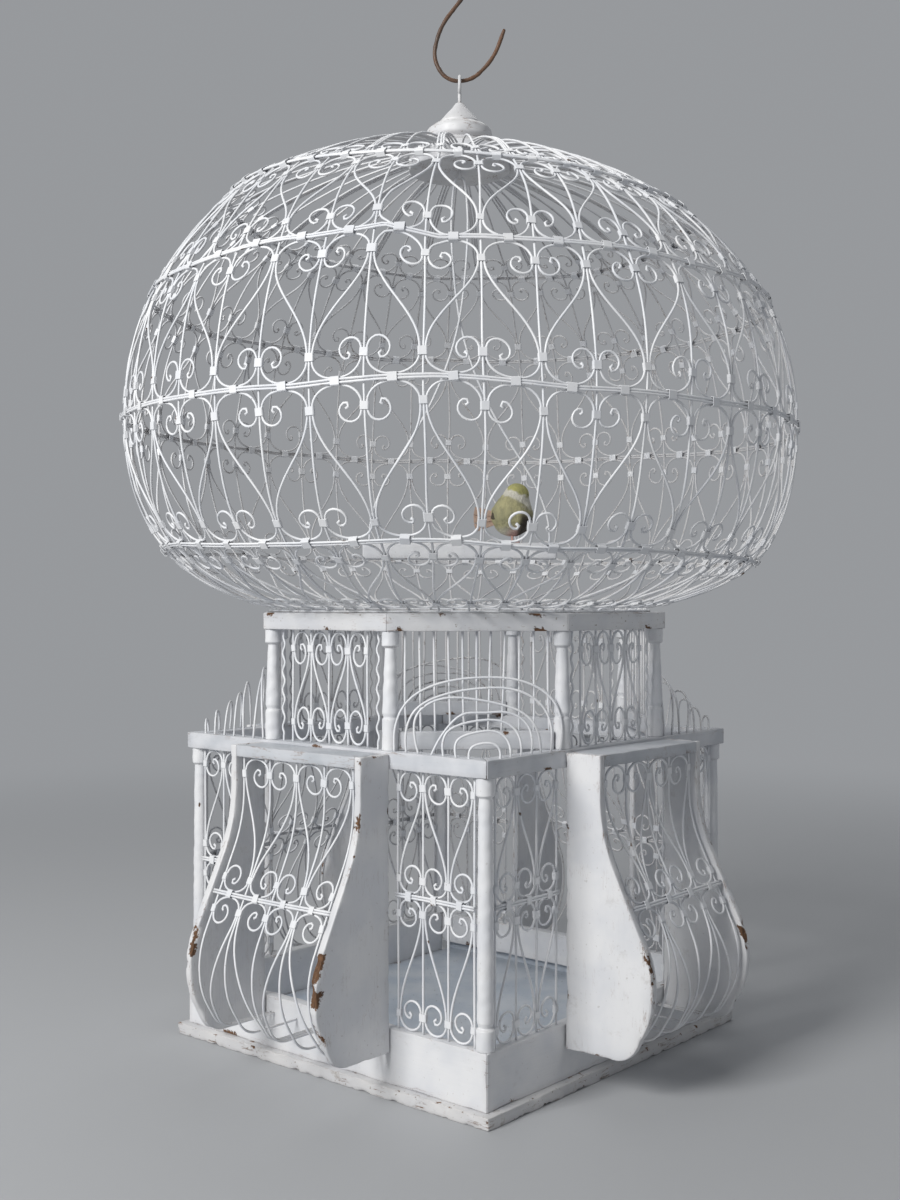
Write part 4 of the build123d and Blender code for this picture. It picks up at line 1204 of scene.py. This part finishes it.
ring_turn = np.linspace(0, 2 * math.pi, 361)
for number in range(1, 5):
    wires = []
    for slide, gap_turn in zip(pair_slides, (2.2, 4.0)):
        wander = 0.35 * np.sin(5 * ring_turn + number) + 0.25 * np.sin(11 * ring_turn + slide)
        loop = drawn(gap_turn + ring_turn * 1.004, ring_along[number] + slide + 0.3 * wander)
        wires.append(wires_on(on_dome, loop[None], tie))
    wire_piece(f"dome_ring_wires_{number}", wires, f"dome_ring_{number}")
wires = []
for slide in (0.0, tie):
    radius = foot_ring + slide + 0.2 * np.sin(7 * ring_turn)
    loop = np.stack([radius * np.cos(ring_turn), radius * np.sin(ring_turn),
                     np.full(361, beam_top + wire / 2 + 0.1)], axis=-1)[None]
    wires.append(tubes(loop, np.broadcast_to(up_way, loop.shape)))
wire_piece("dome_foot_wires", wires, "dome_foot_ring")

dome_collar = 15.0
for band in range(5):
    top, bottom = ring_along[band], ring_along[band + 1]
    shapes = []
    for mirrored in (False, True):
        scroll_first = (band % 2 == 1) != mirrored
        rows = half_scroll(dome_gap(bottom), dome_collar, ring_edge)
        if band == 0:
            # The top wires have no second scroll: they run up to the disc, mid-gap.
            upper = [(1, tie + (dome_gap(top) / 2 - tie) * share, share * (bottom - top), loose)
                     for share, loose in ((0.3, 0.8), (0.55, 0.8), (0.78, 0.5), (1.0, 0))]
            rows = np.concatenate([rows, upper])
        control = laid(rows, dome_gap, not scroll_first, bottom, -1)
        if band > 0:
            upper = laid(half_scroll(dome_gap(top), dome_collar, ring_edge), dome_gap,
                         scroll_first, top, 1)
            half = (top + bottom) / 2
            control = np.concatenate([control, [(dome_gap(half) / 2, half, 1.0)], upper[::-1]])
        lines = hand_bent(control, rib_count // 2, 100)
        radius = np.interp(lines[..., 1], dome_along, dome_line[:, 0])
        lines[..., 0] = rib_turns[int(mirrored)::2][:, None] + lines[..., 0] / radius
        shapes.append(wires_on(on_dome, lines, sides=7, end_width=1.3))
    wire_piece(f"dome_scroll_wires_{band + 1}", shapes, f"dome_scrolls_{band + 1}")

ring_collar, rib_collar = 6.0, 5.0
bands = []
for number in range(1, 6):
    if number < 5:
        spots = drawn(rib_turns + rib_step / 2,
                      ring_along[number] + rng.normal(0, 0.15, rib_count))
        bands.append(collars_on(on_dome, spots, "across", tie / 2, ring_collar, double_wires))
    for way in ((-1, 1) if number < 5 else (-1,)):
        spots = drawn(rib_turns, ring_along[number] + way * dome_collar
                      + rng.normal(0, 0.8, rib_count))
        bands.append(collars_on(on_dome, spots, "along", 0.0, rib_collar, (2.45, 1.0)))
collar_piece("dome_collars", bands)


# ---------------------------------------------------------- disc, finial, eye and hook
# The ribs end in the rim of a thick turned disc. The finial stands on it, turned with a
# bulge and a cone, and an iron eye screwed into its tip carries the hook.
disc_height = disc_top - disc_bottom
disc_profile = softened(((0, 0), (disc_radius, 0), (disc_radius, disc_height),
                         (0, disc_height)), 1.6)
disc = lathe(disc_profile, sides=64, rough=0.25, seed=140, ring_step=2.0)
piece("dome_disc", moved(disc, (0, 0, disc_bottom)),
      painted("disc_paint", dirt=0.55), nodes=["top_disc"])

finial_low, finial_high = corners("finial")
finial_height = finial_high[2] - finial_low[2]
bulge = rounded_path(((21.0, 8.2), (24.6, 10.5), (24.8, 17.5), (20.3, 20.6)), (3.5, 3.5), 0.8)
finial_profile = [(0, 0), (28.2, 0), (29.8, 0.8), (29.9, 1.8), (28.4, 2.8), (22.5, 6.8), *bulge,
                  (16.6, 21.4), (15.6, 22.3), (15.9, 23.4), (10.6, 29.6), (6.0, 34.8),
                  (4.0, 37.4), (3.2, finial_height), (0, finial_height)]
finial = lathe(finial_profile, sides=56, rough=0.3, seed=150, ring_step=1.0)
piece("turned_finial", moved(finial, (0, 0, finial_low[2])),
      painted("finial_paint", (0.2, 0.2, 1.0), dirt=0.6, specks=1.0, relief=0.25),
      nodes=["finial"])

view_axes = np.array([view_right, view_way, (0, 0, 1)])


def view_wire(places, face, radius=wire / 2, sides=8, end_width=1.0):
    """One wire from (right, away, up) places, as the camera sees them, and its face's way."""
    path = np.array(places, float) @ view_axes
    return tubes(path[None], np.broadcast_to(np.array(face) @ view_axes, path.shape)[None],
                 radius, sides, end_width)


eye_low, eye_high = corners("hanging_eye")
eye_wire = 2.5
eye_radius = 6.05
eye_middle = eye_high[2] - eye_radius - eye_wire / 2
eye_turn = np.radians(np.linspace(-90, 265, 60))
eye_line = np.concatenate([
    [(0, 0, up) for up in np.linspace(eye_low[2], eye_middle - 7.2, 12)],
    np.stack([0 * eye_turn, eye_radius * np.cos(eye_turn),
              eye_radius * np.sin(eye_turn) + eye_middle], axis=1)])
rust = painted("rusty_iron", paint=(0.085, 0.055, 0.04, 1), second=(0.17, 0.085, 0.045, 1),
               grime_and_shade_colour=(0.03, 0.022, 0.018, 1),
               under=(0.25, 0.11, 0.05, 1), dirt=0.7, specks=1.0, relief=0.35)
eye_paint = painted("eye_paint", dirt=0.8, specks=1.0, under=(0.16, 0.075, 0.04, 1),
                    relief=0.3)
piece("finial_eye", view_wire(eye_line, (1, 0, 0), eye_wire / 2, 12), eye_paint,
      nodes=["hanging_eye"])

hook_wire = 3.0
seat = corners("hook")[0][2] + hook_wire / 2
hook_corners = ((34, 39), (26, 17), (9, 0), (-10, 0), (-20.5, 17), (-15, 41), (2, 63), (13, 82),
                (9, 103), (-7, 111), (-22, 101), (-24, 86))
hook_line = [(x, 0, up + seat) for x, up in rounded_path(hook_corners, [60.0] * 10, 1.5)]
piece("iron_hook", view_wire(hook_line, (0, -1, 0), hook_wire / 2, 14, 0.8), rust, "hook_body",
      ["hook"])


# ------------------------------------------------------------------ swing and perch
# A staple under the disc carries the swing: one wire bent into a long loop that crosses
# above the perch, a short white board.
staple_bottom = corners("swing_staple")[0][2] + wire / 2
staple_corners = ((-5, disc_bottom + 0.5), (-5, staple_bottom), (5, staple_bottom),
                  (5, disc_bottom + 0.5))
staple_line = [(0, y, up) for y, up in rounded_path(staple_corners, (3.2, 3.2), 0.8)]
piece("disc_staple", view_wire(staple_line, (1, 0, 0)), eye_paint, nodes=["swing_staple"])

perch_low, perch_high = corners("perch_board")
perch_top = perch_high[2]
swing_wire = 1.8
leg = 68.5                      # from the axis to the swing's two upright legs
crossing = 539.0
swing_top = corners("swing_wire")[1][2] - swing_wire / 2
half_swing = np.array([(leg, 1.1, perch_top - 0.6), (leg, 1.1, perch_top + 7), (34, 1.1, 452),
                       (0, 1.1, crossing), (-5, 1.1, crossing + 42), (-4, 0.4, swing_top - 5),
                       (-2.2, 0, swing_top - 0.6)])
swing_line = smooth_line([*half_swing, *(half_swing[::-1] * (-1, -1, 1))], 170)
wire_piece("swing_loop_wire", [view_wire(swing_line, (0, -1, 0), swing_wire / 2)], "swing_wire",
           "swing")

perch_length, perch_width = 147.0, 20.0
perch = block((perch_length, perch_width, perch_top - perch_low[2]), step=3.0, radius=1.6,
              bite=0.5, bite_length=16.0, seed=160)
piece("perch", moved(perch, (-perch_length / 2, -perch_width / 2, perch_low[2]), view_turn),
      painted("perch_paint", (0.3, 0.3, 1.0), dirt=0.35), "swing", ["perch_board"])


# ------------------------------------------------------------------ artificial bird
# The bird is a leaning egg with a round head, feathered in faded colours. Its wings,
# fanned tail, beak and eyes are glued on, and its wire feet grip the perch.
bird_offset, belly_radius, head_up, lean = 40.0, 16.0, 15.5, math.radians(13)
bird_height = belly_radius + head_up + 9.5


def leaning(points):
    """Points of the bird: tilted forwards about the belly's middle, then placed."""
    x, y, z = points[..., 0], points[..., 1], points[..., 2] - belly_radius
    c, s = math.cos(lean), math.sin(lean)
    placed = np.stack([x * c + z * s + bird_offset, y, z * c - x * s + perch_top + 5
                       + belly_radius], axis=-1)
    return turned_about(placed, view_turn)


def feathered(points, faces, pale=0.0, dark=0.0, pink=0.0):
    """A part of the bird, leaning, with the marks of its feathers' colours."""
    marks = {"height": points[:, 2] / bird_height, "pale": pale, "dark": dark, "pink": pink}
    return leaning(points), faces, {key: value + np.zeros(len(points))
                                    for key, value in marks.items()}


egg = smooth_line([(0, 0), (6, 1.1), (11, 4.4), (14.5, 9.3), (16, 16), (15.3, 20.5), (13.3, 25),
                   (11, 29), (9.7, 32), (9.1, 34.2), (7.7, 37.1), (5.6, 39.2), (3, 40.5),
                   (0, 41)], 60)
egg[:, 0] = np.maximum(egg[:, 0], 0)
points, faces, _ = lathe(egg, sides=48, rough=0.35, seed=170, ring_step=0.9)
x, y, z = points.T
fluff = 0.25 * ripple(points, 3.0, 171) * smoothstep(z, 2, 6) * smoothstep(-z, -39, -35)
points[:, :2] *= (1 + fluff / belly_radius)[:, None]
band = smoothstep(z + 0.25 * x + ripple(points, 8, 5), 26, 28) * smoothstep(
    -z - 0.15 * x + ripple(points, 6, 6), -34, -32.5)
belly = smoothstep(-z + 0.3 * x, -9, -1)
# The body is darker on its lower front, which is the side towards the camera's right.
lower_front_dark = smoothstep(x + 0.4 * ripple(points, 5, 7), 4.5, 8.5) * smoothstep(-z, -22, -15)
bird = [feathered(points, faces, np.maximum(band, 0.8 * belly), lower_front_dark,
                  belly * smoothstep(x, -4, 4))]
wing_length, wing_thick, wing_width = 25.0, 3.0, 11.0
for side in (-1, 1):
    blade, faces, _ = block((wing_length, wing_thick, wing_width), step=1.0, radius=1.3,
                            bite=0.25, bite_length=3.0, seed=172 + side)
    share = blade[:, 0] / wing_length
    narrow = 0.25 + 0.75 * np.sin(math.pi * np.clip(0.18 + 0.74 * share, 0, 1))
    y = (blade[:, 1] - wing_thick / 2) * narrow + side * (12.2 - 13.6 * (share - 0.75) ** 2)
    z = (blade[:, 2] - wing_width / 2) * narrow + 17.5 + 9.0 * (share - 0.5)
    points = np.stack([wing_length * (share - 0.62), y, z], axis=1)
    tip = smoothstep(-share, -0.55, -0.1)
    bird.append(feathered(points, faces, 0.25 * (1 - tip), 0.35 + 0.6 * tip))
tail_length, tail_thick, tail_width = 19.0, 1.1, 5.0
for number, droop in enumerate((0.05, 0.27, 0.5)):
    feather, faces, _ = block((tail_length, tail_thick, tail_width), step=1.2, radius=0.45,
                              bite=0.2, bite_length=4.0, seed=175 + number)
    share = feather[:, 0] / tail_length
    out = 10.0 + feather[:, 0]
    wide = (feather[:, 2] - tail_width / 2) * (0.7 + 0.6 * share)
    y = feather[:, 1] - tail_thick / 2 + 0.8 * (number - 1)
    points = np.stack([-out * math.cos(droop) - wide * math.sin(droop), y,
                       14.5 - out * math.sin(droop) + wide * math.cos(droop)], axis=1)
    bird.append(feathered(points, [group[:, ::-1] for group in faces], 0.25 - 0.25 * share,
                          0.2 * share, 0.7))
beak, faces, _ = lathe([(0, 0), (2.3, 0), (1.9, 1.8), (1.0, 4.2), (0.3, 5.6), (0, 5.8)], 16)
beak_turn = 0.7
ahead = 8.4 + beak[:, 2]
points = np.stack([ahead, beak[:, 1], 30.5 - beak[:, 0] - 0.25 * beak[:, 2]], axis=1)
bird.append(feathered(turned_about(points, beak_turn), faces, dark=0.3, pink=1))
for side in (-0.55, 1.95):
    ball = [(0, -1.0), (0.7, -0.7), (1.0, 0), (0.7, 0.7), (0, 1.0)]
    eye, faces, _ = lathe(ball, 14, ring_step=0.4)
    bird.append(feathered(eye + (8.8 * math.cos(side), 8.8 * math.sin(side), 33.5), faces, dark=2))

feathers = bpy.data.materials.new("faded_feathers")
feathers.use_nodes = True
tree = feathers.node_tree
shader = tree.nodes["Principled BSDF"]
spot = add(tree, "TexCoord").outputs["Object"]
scaled = add(tree, "Mapping", {"Vector": spot, "Scale": (900, 900, 320)}).outputs[0]
barbs = noise_between(tree, scaled, 1.0, 0.3, 0.7, 4.0)
blotch = noise_between(tree, scaled, 0.16, 0.35, 0.65)
olive = mix(tree, blotch, (0.43, 0.40, 0.22, 1), (0.30, 0.29, 0.17, 1))
cap = mix(tree, blotch, (0.46, 0.44, 0.16, 1), (0.36, 0.35, 0.14, 1))
colour = mix(tree, ramp(tree, marked(tree, "height"), 0.77, 0.83), olive, cap)
for key, tone in (("pale", (0.62, 0.60, 0.52, 1)), ("pink", (0.58, 0.37, 0.33, 1)),
                  ("dark", (0.045, 0.036, 0.028, 1))):
    colour = mix(tree, marked(tree, key), colour, tone)
shade = calculate(tree, "MULTIPLY", barbs, 0.18)
colour = mix(tree, shade, colour, (0.10, 0.085, 0.04, 1))
bump = add(tree, "Bump", {"Height": barbs, "Strength": 0.7, "Distance": 0.4 * MILLIMETRE})
tree.links.new(colour, shader.inputs["Base Color"])
tree.links.new(bump.outputs[0], shader.inputs["Normal"])
shader.inputs["Roughness"].default_value = 0.85
piece("feathered_bird", joined(bird), feathers, "swing", ["bird_body"])

limbs = []
for side in (-4.0, 4.0):
    leg_places = [(bird_offset, side, perch_top + up) for up in (0.9, 3, 9)]
    limbs.append(smooth_line(leg_places, 12))
    for toe_turn, reach in ((0.0, 5.5), (0.55, 5.5), (-0.55, 5.5), (math.pi, 4.0)):
        toe = [(bird_offset, side, perch_top + 1.6)]
        toe += [(bird_offset + reach * share * math.cos(toe_turn),
                 side + reach * share * math.sin(toe_turn), perch_top + 0.85)
                for share in (0.35, 0.7, 1.0)]
        limbs.append(smooth_line(toe, 12))
limbs = turned_about(np.array(limbs), view_turn)
outward = np.broadcast_to(np.array(view_way) * 0.7 + (0, 0, 0.7), limbs.shape)
bird_skin = painted_wire("bird_skin", 0.15, 0.0, (0.62, 0.36, 0.30, 1), (0.50, 0.30, 0.26, 1))
piece("bird_wire_legs", tubes(limbs, outward, 0.75, 8), bird_skin, "swing", ["bird_legs"])
